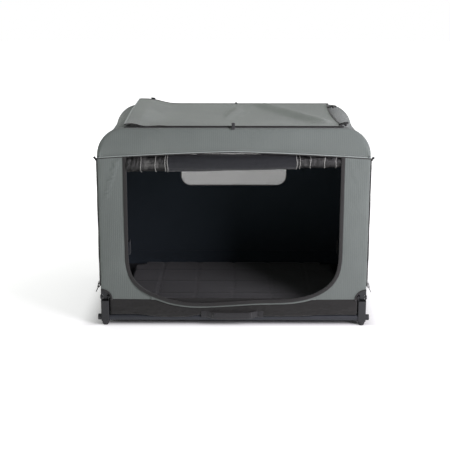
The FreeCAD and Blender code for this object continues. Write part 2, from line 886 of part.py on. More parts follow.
def front_panel():
    """Two jambs and a sill round the door opening, in one piece."""
    half, corner, low = door_half, D["door_corner"], D["door_bottom"]
    top = header_base
    outline = wall_outline(half_width, notch_x, top)
    opening = [
        (half, top),
        (half, low + corner),
        (half - corner, low, "arc"),
        (-(half - corner), low),
        (-half, low + corner, "arc"),
        (-half, top),
    ]
    outline = outline[:5] + opening + outline[5:]
    node(
        "front_panel",
        plate("front_panel_body", "XZ_Plane", [outline], D["fabric"], (0, -mid_fabric_y, 0)),
    )
    band = D["binding_width"]
    inner = [
        (half - band, top),
        (half - band, low + corner),
        (half - corner, low + band, "arc"),
        (-(half - corner), low + band),
        (-(half - band), low + corner, "arc"),
        (-(half - band), top),
    ]
    back = [
        (-half, top),
        (-half, low + corner),
        (-(half - corner), low, "arc"),
        (half - corner, low),
        (half, low + corner, "arc"),
        (half, top),
    ]
    node(
        "door_binding",
        plate("binding_body", "XZ_Plane", [back + inner], D["binding_thickness"], (0, -mid_fabric_y, 0)),
    )


def rear_panel():
    net = window(rear_window_half, rear_window_bottom, rear_window_top)
    loops = [wall_outline(half_width, notch_x, header_base), net]
    node("rear_panel", plate("rear_panel_body", "XZ_Plane", loops, D["fabric"], (0, mid_fabric_y, 0)))
    node("rear_window_mesh", plate("rear_mesh_body", "XZ_Plane", [net], D["mesh"], (0, mid_fabric_y, 0)))


def side_panel(side):
    s = SIDES[side]
    net = window(side_window_half, D["side_window_bottom"], side_window_top)
    at = (mid_fabric_x * s, 0, 0)
    loops = [wall_outline(skin_y, notch_y, bend_z), net]
    node(f"{side}_panel", plate(f"{side}_panel_body", "YZ_Plane", loops, D["fabric"], at))
    node(f"{side}_window_mesh", plate(f"{side}_mesh_body", "YZ_Plane", [net], D["mesh"], at))
    lap = D["side_flap_margin"]
    cover = window(
        side_window_half + lap, D["side_window_bottom"] - lap, bend_z - D["side_flap_top_margin"]
    )
    at = ((half_width + D["air"] + D["fabric"] / 2) * s, 0, 0)
    node(f"{side}_door_flap", plate(f"{side}_flap_body", "YZ_Plane", [cover], D["fabric"], at))


front_panel()
rear_panel()
for side in SIDES:
    side_panel(side)


# ---------------------------------------------------------------- fabric cover: the cap on the hoops
def header(end):
    """The band across the front or rear, rounded at its top corners like the hoop."""
    outline = [
        (-half_width, header_base),
        (half_width, header_base),
        (half_width, bend_z),
        (bend_x, D["roof_height"], "arc"),
        (-bend_x, D["roof_height"]),
        (-half_width, bend_z, "arc"),
    ]
    at = (0, mid_fabric_y * ENDS[end], 0)
    node(f"{end}_header", plate(f"{end}_header_body", "XZ_Plane", [outline], D["fabric"], at))


def roof():
    outline = [
        (-bend_x, -skin_y),
        (bend_x, -skin_y),
        (bend_x, skin_y),
        (-bend_x, skin_y),
    ]
    opening = rounded_rectangle(hatch_mesh_x, hatch_mesh_y, D["window_corner"])
    mid_z = D["roof_height"] - D["fabric"] / 2
    node("roof_panel", plate("roof_body", "XY_Plane", [outline, opening], D["fabric"], (0, 0, mid_z)))
    node("hatch_mesh", plate("hatch_mesh_body", "XY_Plane", [opening], D["mesh"], (0, 0, mid_z)))


def side_band(side):
    """The quarter-round strip over the hoops' bends."""
    s = SIDES[side]
    inner = outer_bend - D["fabric"]
    centre = (bend_x * s, 0, bend_z)
    tag = f"{side}_band"
    outer_rod = rod(tag + "_outer", "Y", outer_bend, skin_y * 2, centre)
    inner_rod = rod(tag + "_inner", "Y", inner, skin_y * 2 * THROUGH, centre)
    reach = outer_bend * 2
    corner = block(
        tag + "_corner",
        (reach, skin_y * 2, reach),
        ((bend_x + reach / 2) * s, 0, bend_z + reach / 2),
    )
    keep = doc.addObject("Part::Common", tag + "_quarter")
    keep.Base = outer_rod
    keep.Tool = corner
    node(f"{side}_header", cut(tag, keep, inner_rod))


def hatch():
    at = (0, 0, hatch_z + D["fabric"] / 2)
    outline = rounded_rectangle(hatch_x, hatch_y, D["hatch_corner"])
    node("hatch_flap", plate("hatch_body", "XY_Plane", [outline], D["fabric"], at))


for end in ENDS:
    header(end)
roof()
for side in SIDES:
    side_band(side)
hatch()


# ---------------------------------------------------------------- rolled door, rear roll, handle, fastenings
def front_roll():
    """The rolled-up mesh door under the header and the sleeve that holds its middle."""
    length = (door_half - D["binding_width"] - D["roll_end_gap"]) * 2
    at_y, at_z = -(half_depth - D["roll_inset"]), bend_z - D["roll_drop"]
    node("front_door_roll", rod("door_roll", "X", D["roll_radius"], length, (0, at_y, at_z)))
    sleeve_at = (-D["sleeve_shift"], at_y, at_z)
    sleeve_length = D["sleeve_half_length"] * 2
    inside = D["roll_radius"] + D["air"]
    outer = rod("sleeve_outer", "X", inside + D["fabric"], sleeve_length, sleeve_at)
    inner = rod("sleeve_inner", "X", inside, sleeve_length, sleeve_at)
    node("door_roll_sleeve", cut("sleeve", outer, inner))


def rear_roll():
    """The rear window's cover, rolled up above the window."""
    radius = D["rear_roll_radius"]
    at_y = half_depth + D["air"] + radius
    at = (0, at_y, rear_window_top + radius * 2)
    node("rear_flap_roll", rod("rear_roll", "X", radius, D["rear_window_width"], at))


def handle():
    """A webbing handle: a bowed loop between two tabs that are sewn flat to the tub's front wall."""
    end_x, taper, thick = D["handle_half_length"], D["handle_taper"], D["fabric"]
    mid_x = end_x - taper
    wall_y = tub_y
    middle_z = D["handle_top"] - D["handle_width"] / 2
    # the loop stands as far proud of the front as the rolled cover does of the rear
    bow = half_depth + D["rear_roll_radius"] * 2 - wall_y - thick
    outline = [
        (-end_x, thick),
        (-end_x, 0),
        (-mid_x, -bow),
        (mid_x, -bow),
        (end_x, 0),
        (end_x, thick),
        (mid_x, thick - bow),
        (-mid_x, thick - bow),
    ]
    at = (-D["handle_shift"], -(wall_y + thick + D["air"]), middle_z)
    node("front_handle", plate("handle_body", "XY_Plane", [outline], D["handle_width"], at))
    tabs = [
        block(
            f"handle_tab_{side}",
            (D["handle_tab_length"], thick, D["handle_width"]),
            (
                (end_x + D["air"] + D["handle_tab_length"] / 2) * SIDES[side] - D["handle_shift"],
                -(wall_y + thick / 2),
                middle_z,
            ),
        )
        for side in SIDES
    ]
    node("handle_tabs", group("both_handle_tabs", *tabs))


def toggle(tag, at, axis):
    """A small barrel toggle."""
    return rod(tag, axis, D["toggle_dia"] / 2, D["toggle_length"], at)


def toggles():
    """Barrels that hold the rolled covers: two beside the hatch and one at each upper corner."""
    lift = D["toggle_dia"] / 2 + D["toggle_lift"]
    over = outer_bend + lift
    x = hatch_x + D["toggle_gap"]
    z = bend_z + (over * over - (x - bend_x) * (x - bend_x)).root()
    places = {"front": -(half_depth - D["front_toggle_inset"]), "rear": D["rear_toggle_offset"]}
    barrels = [toggle(f"hatch_toggle_{end}", (x, y, z), "Y") for end, y in places.items()]
    for end, side in CORNERS:
        at = (
            (half_width + lift) * SIDES[side],
            notch_y * ENDS[end],
            bend_z - D["side_toggle_drop"],
        )
        barrels.append(toggle(f"side_toggle_{end}_{side}", at, "Z"))
    node("toggles", group("all_toggles", *barrels))


def zip_slider():
    """The hatch's slider and its pull, on the zip along the hatch's rear edge."""
    size, thick = D["slider_size"], D["fabric"]
    x = D["slider_inset"] - hatch_x
    y = (hatch_y + skin_y) / 2
    width = size * 2 / 3
    body = block("slider_body", (size, width, thick), (x, y, hatch_z + thick / 2))
    pull = block(
        "slider_pull",
        (D["slider_pull_length"], width / 2, thick),
        (x + size / 4 + D["slider_pull_length"] / 2, y, hatch_z + thick * 3 / 2),
    )
    node("hatch_zip_slider", fuse("slider", body, pull))


front_roll()
rear_roll()
handle()
toggles()
zip_slider()

# ---------------------------------------------------------------- check and write
doc.recompute()
for obj in doc.Objects:
    if "Invalid" in obj.State or "Error" in obj.State:
        raise SystemExit(f"{obj.Label} failed: {obj.State}")
os.makedirs("parts", exist_ok=True)
for label, obj in PARTS:
    shape = obj.Shape
    if shape.isNull() or not shape.isValid() or not shape.Solids:
        raise SystemExit(f"{label} has no valid solid")
    shape.exportStep(f"parts/{label}.step")
print(len(PARTS), "nodes written")
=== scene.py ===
import math

import bmesh
import bpy
import numpy as np
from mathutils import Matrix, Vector


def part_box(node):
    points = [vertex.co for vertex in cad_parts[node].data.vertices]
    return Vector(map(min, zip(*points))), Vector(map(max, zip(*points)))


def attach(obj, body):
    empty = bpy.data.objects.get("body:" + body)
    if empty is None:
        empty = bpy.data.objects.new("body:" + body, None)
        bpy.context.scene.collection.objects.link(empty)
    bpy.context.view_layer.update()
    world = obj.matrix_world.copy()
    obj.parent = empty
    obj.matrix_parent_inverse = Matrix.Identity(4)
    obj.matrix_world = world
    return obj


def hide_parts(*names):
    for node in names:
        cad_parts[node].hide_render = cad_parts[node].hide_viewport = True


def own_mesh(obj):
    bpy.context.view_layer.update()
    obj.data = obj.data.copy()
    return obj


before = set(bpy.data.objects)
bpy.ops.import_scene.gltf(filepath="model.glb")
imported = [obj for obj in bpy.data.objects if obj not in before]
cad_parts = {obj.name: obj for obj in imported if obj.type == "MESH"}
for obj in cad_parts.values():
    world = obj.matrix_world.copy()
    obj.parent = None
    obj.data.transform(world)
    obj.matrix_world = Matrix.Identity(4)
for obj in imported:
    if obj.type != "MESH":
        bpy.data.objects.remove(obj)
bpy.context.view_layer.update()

scene = bpy.context.scene

# ---------------------------------------------------------------- where the crate's pieces are

_, ROOF_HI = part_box("roof_panel")
FRONT_LO, FRONT_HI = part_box("front_panel")
BAND_LO, BAND_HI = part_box("left_header")
DOOR_LO, DOOR_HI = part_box("door_binding")
TUB_LO, TUB_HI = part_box("floor_tub")
POST_LO, POST_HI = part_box("corner_post_front_right")
HATCH_LO, HATCH_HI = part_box("hatch_flap")
NET_LO, NET_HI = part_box("hatch_mesh")
MAT_LO, MAT_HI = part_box("floor_mat")
ROLL_LO, ROLL_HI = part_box("front_door_roll")
SLEEVE_LO, SLEEVE_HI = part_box("door_roll_sleeve")
REAR_ROLL_LO, REAR_ROLL_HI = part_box("rear_flap_roll")
HANDLE_LO, HANDLE_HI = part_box("front_handle")
TABS_LO, TABS_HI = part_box("handle_tabs")
REAR_WINDOW_LO, REAR_WINDOW_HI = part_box("rear_window_mesh")
SIDE_WINDOW_LO, SIDE_WINDOW_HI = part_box("right_window_mesh")
FLAP_LO, FLAP_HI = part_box("right_door_flap")
SLIDER_LO, SLIDER_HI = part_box("hatch_zip_slider")

HALF_WIDTH = FRONT_HI.x
HALF_DEPTH = -FRONT_LO.y
ROOF = ROOF_HI.z
SHOULDER = BAND_HI.x - BAND_LO.x
SHOULDER_Z = ROOF - SHOULDER
SEAM_END = FRONT_HI.z - 0.005
SEAM_RISE = 0.021
CLOTH = 0.0012
NOTCH_X = POST_LO.x - 0.0105
NOTCH_Z = POST_HI.z + 0.022
SKIRT_TOP = TUB_HI.z

# ---------------------------------------------------------------- camera, floor and light


def set_camera():
    """The camera stands in front of the crate and looks a little down on it."""
    camera = bpy.data.cameras.new("camera")
    camera.sensor_width = 36
    camera.lens = 81.85
    holder = bpy.data.objects.new("camera", camera)
    holder.location = (0, -3.696, 1.211)
    holder.rotation_euler = (math.radians(90 - 14.07), 0, math.radians(0.4945))
    scene.collection.objects.link(holder)
    scene.camera = holder


def set_light():
    """A white room, a large soft lamp overhead and a cooler one close by on the right."""
    world = bpy.data.worlds.new("white_room")
    scene.world = world
    world.use_nodes = True
    nodes, links = world.node_tree.nodes, world.node_tree.links
    shown = nodes["Background"]
    shown.inputs["Color"].default_value = (1, 1, 1, 1)
    ambient = nodes.new("ShaderNodeBackground")
    ambient.inputs["Color"].default_value = (0.97, 1.0, 0.97, 1)
    ambient.inputs["Strength"].default_value = 0.31
    ray = nodes.new("ShaderNodeLightPath")
    mix = nodes.new("ShaderNodeMixShader")
    links.new(ray.outputs["Is Camera Ray"], mix.inputs[0])
    links.new(ambient.outputs[0], mix.inputs[1])
    links.new(shown.outputs[0], mix.inputs[2])
    links.new(mix.outputs[0], nodes["World Output"].inputs["Surface"])
    lamps = {
        "rear_left": ((-2.3, 2.6, 1.5), 26, 1.6, (1.0, 1.0, 1.0)),
        "overhead": ((0.2, 0.2, 2.7), 14, 1.8, (1.0, 1.0, 0.98)),
        "right_front": ((1.75, -1.75, 1.15), 58, 1.1, (1.06, 1.0, 1.09)),
    }
    for name, (place, power, size, tint) in lamps.items():
        lamp = bpy.data.lights.new(name, "AREA")
        lamp.energy = power
        lamp.size = size
        lamp.color = tint
        holder = bpy.data.objects.new(name, lamp)
        holder.location = place
        aim = Vector((0.1, 0, 0.4)) - Vector(place)
        holder.rotation_euler = aim.to_track_quat("-Z", "Y").to_euler()
        scene.collection.objects.link(holder)
    scene.view_settings.view_transform = "Standard"


# ---------------------------------------------------------------- finishes


class Finish:
    """One procedural material: its shader and the nodes that feed it."""

    def __init__(self, name, roughness, metallic=0.0, **sockets):
        self.material = bpy.data.materials.new(name)
        self.material.use_nodes = True
        self.nodes = self.material.node_tree.nodes
        self.links = self.material.node_tree.links
        self.shader = self.nodes["Principled BSDF"]
        self.shader.inputs["Roughness"].default_value = roughness
        self.shader.inputs["Metallic"].default_value = metallic
        for key, value in sockets.items():
            self.shader.inputs[key.replace("_", " ")].default_value = value
        self.place = self.nodes.new("ShaderNodeTexCoord")

    def node(self, kind, inputs=(), **settings):
        made = self.nodes.new("ShaderNode" + kind)
        for key, value in settings.items():
            setattr(made, key, value)
        for key, value in dict(inputs).items():
            if isinstance(value, bpy.types.NodeSocket):
                self.links.new(value, made.inputs[key])
            else:
                made.inputs[key].default_value = value
        return made

    def math(self, operation, a, b=0.0):
        return self.node("Math", {0: a, 1: b}, operation=operation).outputs[0]

    def noise(self, size, detail=3.0, stretch=(1, 1, 1), source="Object"):
        at = self.node("Mapping", {"Vector": self.place.outputs[source], "Scale": stretch})
        inputs = {"Vector": at.outputs[0], "Scale": 1 / size, "Detail": detail}
        return self.node("TexNoise", inputs).outputs["Fac"]

    def threads(self, pitch, axis, source="UV"):
        """Ridges a pitch apart across one axis: 0 in the valleys and 1 on the crests."""
        split = self.node("SeparateXYZ", {"Vector": self.place.outputs[source]})
        turns = self.math("MULTIPLY", split.outputs[axis], 2 * math.pi / pitch)
        wave = self.math("SINE", turns)
        return self.math("ADD", self.math("MULTIPLY", wave, 0.5), 0.5)

    def between(self, low, high, amount):
        mix = self.node("Mix", {"Factor": amount}, data_type="RGBA")
        mix.inputs["A"].default_value = (*low, 1)
        mix.inputs["B"].default_value = (*high, 1)
        return mix.outputs["Result"]

    def colour(self, socket):
        self.links.new(socket, self.shader.inputs["Base Color"])

    def rough(self, low, high, amount):
        spread = self.math("ADD", self.math("MULTIPLY", amount, high - low), low)
        self.links.new(spread, self.shader.inputs["Roughness"])

    def relief(self, height, depth):
        bump = self.node("Bump", {"Height": height, "Distance": depth, "Strength": 1.0})
        self.links.new(bump.outputs[0], self.shader.inputs["Normal"])


def woven(name, low, high, pitch, rib=0.0, roughness=0.8, depth=0.0004, sheen=0.25, source="UV"):
    """Woven cloth: crossed threads, a corded rib, slow shade changes and a little fuzz."""
    made = Finish(name, roughness, Sheen_Weight=sheen, Sheen_Roughness=0.5, Specular_IOR_Level=0.25)
    warp = made.threads(pitch, 0, source)
    weft = made.threads(pitch, 1, source)
    cross = made.math("MULTIPLY", made.math("ADD", warp, weft), 0.5)
    shade = made.noise(0.16, 2.0)
    fuzz = made.noise(0.004, 2.0)
    tone = made.math("ADD", made.math("MULTIPLY", cross, 0.25), made.math("MULTIPLY", shade, 0.55))
    tone = made.math("ADD", tone, made.math("MULTIPLY", fuzz, 0.25))
    height = cross
    if rib:
        cord = made.threads(rib, 0, source)
        tone = made.math("ADD", tone, made.math("MULTIPLY", cord, 0.20))
        height = made.math("ADD", height, made.math("MULTIPLY", cord, 0.6))
    made.colour(made.between(low, high, tone))
    made.rough(roughness - 0.08, roughness + 0.08, fuzz)
    made.relief(height, depth)
    return made.material


def netting(name, low, high, pitch, open_share, roughness=0.5, specular=0.5):
    """Net: crossed strands with open holes between them."""
    made = Finish(name, roughness, Specular_IOR_Level=specular)
    across = made.threads(pitch, 0)
    along = made.threads(pitch, 1)
    hole = made.math("MULTIPLY", across, along)
    strand = made.math("LESS_THAN", hole, 1 - open_share)
    made.links.new(strand, made.shader.inputs["Alpha"])
    shade = made.noise(0.03, 3.0)
    made.colour(made.between(low, high, shade))
    made.relief(made.math("SUBTRACT", 1.0, hole), 0.0003)
    return made.material


def crumpled(name, low, high):
    """Fine net wound on itself: dark layers and sharp little creases, with bright glints painted into its
    colour as pale spots.
    """
    made = Finish(name, 0.3, Specular_IOR_Level=0.5)
    crease = made.noise(0.014, 5.0, (1, 1, 0.6))
    # Painted highlight: the pale spots of this noise stand in for glints of light on the net.
    painted_glint_spots = made.noise(0.026, 6.0, (1, 1, 0.7))
    sharp = made.node("MapRange", {"Value": painted_glint_spots, "From Min": 0.54, "From Max": 0.66}).outputs[0]
    made.colour(made.between(low, high, sharp))
    made.rough(0.25, 0.7, crease)
    net = made.math("MULTIPLY", made.threads(0.0024, 0), made.threads(0.0024, 1))
    made.relief(made.math("ADD", made.math("MULTIPLY", crease, 7.0), made.math("MULTIPLY", net, 0.3)), 0.0012)
    return made.material


def powder_coat(name, low, high, metallic=0.0, roughness=0.42):
    """Baked powder paint: fine orange peel, with scuffs that shine a little."""
    made = Finish(name, roughness, metallic, Specular_IOR_Level=0.35)
    peel = made.noise(0.0015, 2.0)
    scuff = made.noise(0.035, 6.0, (1, 1, 3))
    made.colour(made.between(low, high, scuff))
    made.rough(roughness - 0.08, roughness + 0.14, scuff)
    made.relief(peel, 0.0001)
    return made.material


def moulded(name, low, high, roughness=0.5, grain=0.0009):
    """Moulded plastic or rubber: a sparked grain and soft wear."""
    made = Finish(name, roughness, Specular_IOR_Level=0.45)
    spark = made.noise(grain, 3.0)
    wear = made.noise(0.02, 5.0)
    made.colour(made.between(low, high, wear))
    made.rough(roughness - 0.1, roughness + 0.12, wear)
    made.relief(spark, 0.00012)
    return made.material


def ribbed_tape(name, low, high, pitch=0.0016, roughness=0.72, source="UV"):
    """Woven tape: fine ribs across its width."""
    made = Finish(name, roughness, Sheen_Weight=0.3, Sheen_Roughness=0.5, Specular_IOR_Level=0.3)
    rib = made.threads(pitch, 0, source)
    fuzz = made.noise(0.006, 3.0)
    tone = made.math("ADD", made.math("MULTIPLY", rib, 0.4), made.math("MULTIPLY", fuzz, 0.6))
    made.colour(made.between(low, high, tone))
    made.relief(rib, 0.0003)
    return made.material


FINISHES = {
    "grey_fabric": woven("grey_cloth", (0.076, 0.089, 0.083), (0.147, 0.166, 0.156), 0.0012, 0.0066),
    "hatch_cloth": woven("hatch_cloth", (0.152, 0.173, 0.158), (0.252, 0.280, 0.258), 0.0012, 0.0),
    "black_lining": woven("black_lining", (0.006, 0.011, 0.016), (0.016, 0.026, 0.036), 0.0014, 0.0, 0.7),
    "tub_cloth": woven("tub_cloth", (0.005, 0.005, 0.005), (0.015, 0.014, 0.013), 0.0013, 0.0, 0.55, 0.0005,
                       0.14),
    "mat_cover": woven("mat_cover", (0.005, 0.006, 0.007), (0.014, 0.015, 0.018), 0.0016, 0.0, 0.9, 0.0006,
                       0.15, "Object"),
    "sleeve_cloth": woven("sleeve_cloth", (0.003, 0.004, 0.006), (0.009, 0.010, 0.013), 0.0013, 0.0, 0.6,
                          0.0004, 0.15),
    "black_binding": ribbed_tape("black_binding", (0.005, 0.005, 0.005), (0.018, 0.017, 0.016)),
    "grey_piping": ribbed_tape("grey_piping", (0.19, 0.215, 0.205), (0.30, 0.33, 0.315), 0.002),
    "webbing": ribbed_tape("webbing", (0.008, 0.008, 0.009), (0.030, 0.030, 0.032), 0.0022),
    "pale_mesh": netting("pale_mesh", (0.21, 0.206, 0.198), (0.28, 0.275, 0.264), 0.0022, 0.42),
    "dark_mesh": netting("dark_mesh", (0.008, 0.009, 0.010), (0.02, 0.021, 0.022), 0.0024, 0.3),
    # The rolled net's high colour is its painted glint.
    "rolled_mesh": crumpled("rolled_mesh", (0.003, 0.003, 0.003), (0.048, 0.048, 0.045)),
    "frame_tube": powder_coat("frame_tube", (0.014, 0.016, 0.020), (0.026, 0.029, 0.036), 0.0, 0.5),
    "moulded_black": moulded("moulded_black", (0.008, 0.009, 0.010), (0.017, 0.018, 0.021), 0.55),
    "foot_rubber": moulded("foot_rubber", (0.012, 0.012, 0.013), (0.026, 0.026, 0.028), 0.7),
    "toggle_plastic": moulded("toggle_plastic", (0.006, 0.006, 0.007), (0.016, 0.016, 0.018), 0.35),
    "stiff_board": moulded("stiff_board", (0.018, 0.018, 0.019), (0.030, 0.030, 0.032), 0.6),
    "steel": powder_coat("plated_steel", (0.10, 0.10, 0.105), (0.20, 0.20, 0.205), 1.0, 0.35),
    "pull_metal": powder_coat("pull_metal", (0.22, 0.22, 0.22), (0.40, 0.40, 0.40), 1.0, 0.35),
    "grey_thread": moulded("grey_thread", (0.20, 0.215, 0.205), (0.30, 0.315, 0.30), 0.7),
    "pale_thread": moulded("pale_thread", (0.24, 0.24, 0.23), (0.42, 0.42, 0.40), 0.6),
    "black_thread": moulded("black_thread", (0.012, 0.012, 0.012), (0.03, 0.03, 0.03), 0.6),
}

# ---------------------------------------------------------------- making cloth


def put(name, mesh, materials):
    """A new piece from a mesh, with its finishes."""
    piece = bpy.data.objects.new(name, mesh)
    scene.collection.objects.link(piece)
    mesh.materials.clear()
    for key in materials:
        mesh.materials.append(FINISHES[key])
    for face in mesh.polygons:
        face.use_smooth = True
    return piece


LINED = ["grey_fabric", "black_lining"]


def cloth_grid(name, rows, flat, materials, wrap=False, toward=None):
    """A sheet from rows of points; flat gives each point's place on the uncut cloth."""
    rows = np.asarray(rows, float)
    flat = np.asarray(flat, float)
    tall, wide = rows.shape[:2]
    mesh = bpy.data.meshes.new(name)
    faces = []
    for i in range(tall - 1):
        for j in range(wide if wrap else wide - 1):
            k = (j + 1) % wide
            faces.append([i * wide + j, i * wide + k, (i + 1) * wide + k, (i + 1) * wide + j])
    mesh.from_pydata(rows.reshape(-1, 3).tolist(), [], faces)
    marks = mesh.uv_layers.new(name="cloth")
    spots = flat.reshape(-1, 2)
    for loop in mesh.loops:
        marks.data[loop.index].uv = spots[loop.vertex_index]
    piece = put(name, mesh, materials)
    work = bmesh.new()
    work.from_mesh(mesh)
    bmesh.ops.remove_doubles(work, verts=work.verts, dist=1e-5)
    bmesh.ops.dissolve_degenerate(work, edges=work.edges, dist=1e-6)
    if toward is not None:
        work.normal_update()
        total = sum((f.normal * f.calc_area() for f in work.faces), Vector())
        if total.dot(Vector(toward)) < 0:
            bmesh.ops.reverse_faces(work, faces=work.faces)
    layer = work.loops.layers.uv.active
    cut = 0.0
    for f in work.faces:
        spot = [loop[layer].uv for loop in f.loops]
        cut += abs(sum(a.cross(b) for a, b in zip(spot, spot[1:] + spot[:1]))) / 2
    work.to_mesh(mesh)
    work.free()
    size = spots.max(0) - spots.min(0)
    piece["cut"] = [float(size[0]), float(size[1]), float(cut)]
    return piece


def declare(piece):
    """Works out what size a sheet was cut to, from its uncut shape, and keeps nothing of it.

    Its area is held between 0.3 and 1 times its width times its length. The roof's cloth, a frame round a
    large opening, has less than that, so its stated area is too big."""
    width, length, area = piece["cut"]
    area = min(max(area, 0.3 * width * length), width * length)


def settle(piece):
    """Turns the piece's modifiers into plain mesh."""
    bpy.context.view_layer.update()
    graph = bpy.context.evaluated_depsgraph_get()
    seen = piece.evaluated_get(graph)
    mesh = bpy.data.meshes.new_from_object(seen, preserve_all_data_layers=True, depsgraph=graph)
    piece.modifiers.clear()
    piece.data = mesh
    return piece


def thicken(piece, thickness=CLOTH, lining=1):
    """Gives a sheet its thickness, with the lining on its inner face."""
    wall = piece.modifiers.new("thickness", "SOLIDIFY")
    wall.thickness = thickness
    wall.offset = -1
    wall.material_offset = lining
    wall.material_offset_rim = 0
    return settle(piece)


def ripple(u, v, size, seed, count=6):
    """Slow uneven waves from -1 to 1, the same each time for one seed."""
    pick = np.random.default_rng(seed)
    total = np.zeros(np.broadcast(u, v).shape)
    for _ in range(count):
        angle = pick.uniform(0, math.pi)
        length = size * pick.uniform(0.6, 1.7)
        across = (u * math.cos(angle) + v * math.sin(angle)) / length
        total = total + np.sin(2 * math.pi * across + pick.uniform(0, 2 * math.pi))
    return total / count


def fold(u, v, start, end, width, height):
    """One soft fold along the line from start to end."""
    start, end = np.array(start), np.array(end)
    run = end - start
    length = np.linalg.norm(run)
    run = run / length
    along = ((u - start[0]) * run[0] + (v - start[1]) * run[1]) / length
    off = (u - start[0]) * -run[1] + (v - start[1]) * run[0]
    ends = np.clip(np.minimum(along + 0.15, 1.15 - along) / 0.3, 0, 1)
    return height * np.exp(-((off / width) ** 2)) * ends * ends * (3 - 2 * ends)


def reach_along(points):
    """How far each point is along an open line."""
    steps = np.linalg.norm(np.diff(points, axis=0), axis=1)
    return np.concatenate([[0], np.cumsum(steps)])


def spaced(points, count):
    """Points at even steps along an open line."""
    points = np.asarray(points, float)
    reach = reach_along(points)
    wanted = np.linspace(0, reach[-1], count)
    return np.stack([np.interp(wanted, reach, points[:, k]) for k in range(points.shape[1])], 1)


def joined(*runs):
    """Several runs of points as one line, without the repeated ends."""
    return np.concatenate([runs[0]] + [run[1:] for run in runs[1:]])


def loft(outer, inner, steps, ease=1.0):
    """Rows of points from an outer line to an inner one."""
    return np.array([outer + (inner - outer) * (k / steps) ** ease for k in range(steps + 1)])


def sweep(name, path, across, profile, materials, out):
    """A strip or cord of one section along a path. across and out are the section's axes at each point."""
    path = np.asarray(path, float)
    profile = np.asarray(profile, float)
    across = np.asarray(across, float)
    out = np.asarray(out, float)
    rows = path[:, None] + profile[:, :1] * across[:, None] + profile[:, 1:] * out[:, None]
    flat = np.array([[(r, g) for g in reach_along(profile)] for r in reach_along(path)])
    piece = cloth_grid(name, rows, flat, materials, wrap=True)
    close_ends(piece)
    return piece


def close_ends(piece):
    """Closes a tube's open ends and turns its faces outward."""
    work = bmesh.new()
    work.from_mesh(piece.data)
    bmesh.ops.holes_fill(work, edges=[e for e in work.edges if e.is_boundary], sides=0)
    bmesh.ops.recalc_face_normals(work, faces=work.faces)
    work.to_mesh(piece.data)
    work.free()


def oval(width, height, count=12):
    """A flat band's section: rounded at both edges."""
    turn = np.linspace(0, 2 * math.pi, count, endpoint=False)
    power = 0.6
    x = np.sign(np.cos(turn)) * np.abs(np.cos(turn)) ** power * width / 2
    y = np.sign(np.sin(turn)) * np.abs(np.sin(turn)) ** power * height / 2
    return np.stack([x, y], 1)


def tangents(path):
    run = np.gradient(np.asarray(path, float), axis=0)
    return run / np.maximum(np.linalg.norm(run, axis=1, keepdims=True), 1e-9)


def join(pieces, name):
    """Several meshes as one piece."""
    with bpy.context.temp_override(active_object=pieces[0], selected_editable_objects=pieces):
        bpy.ops.object.join()
    pieces[0].name = name
    pieces[0].data.name = name
    return pieces[0]


# ---------------------------------------------------------------- rows of stitches and zip teeth


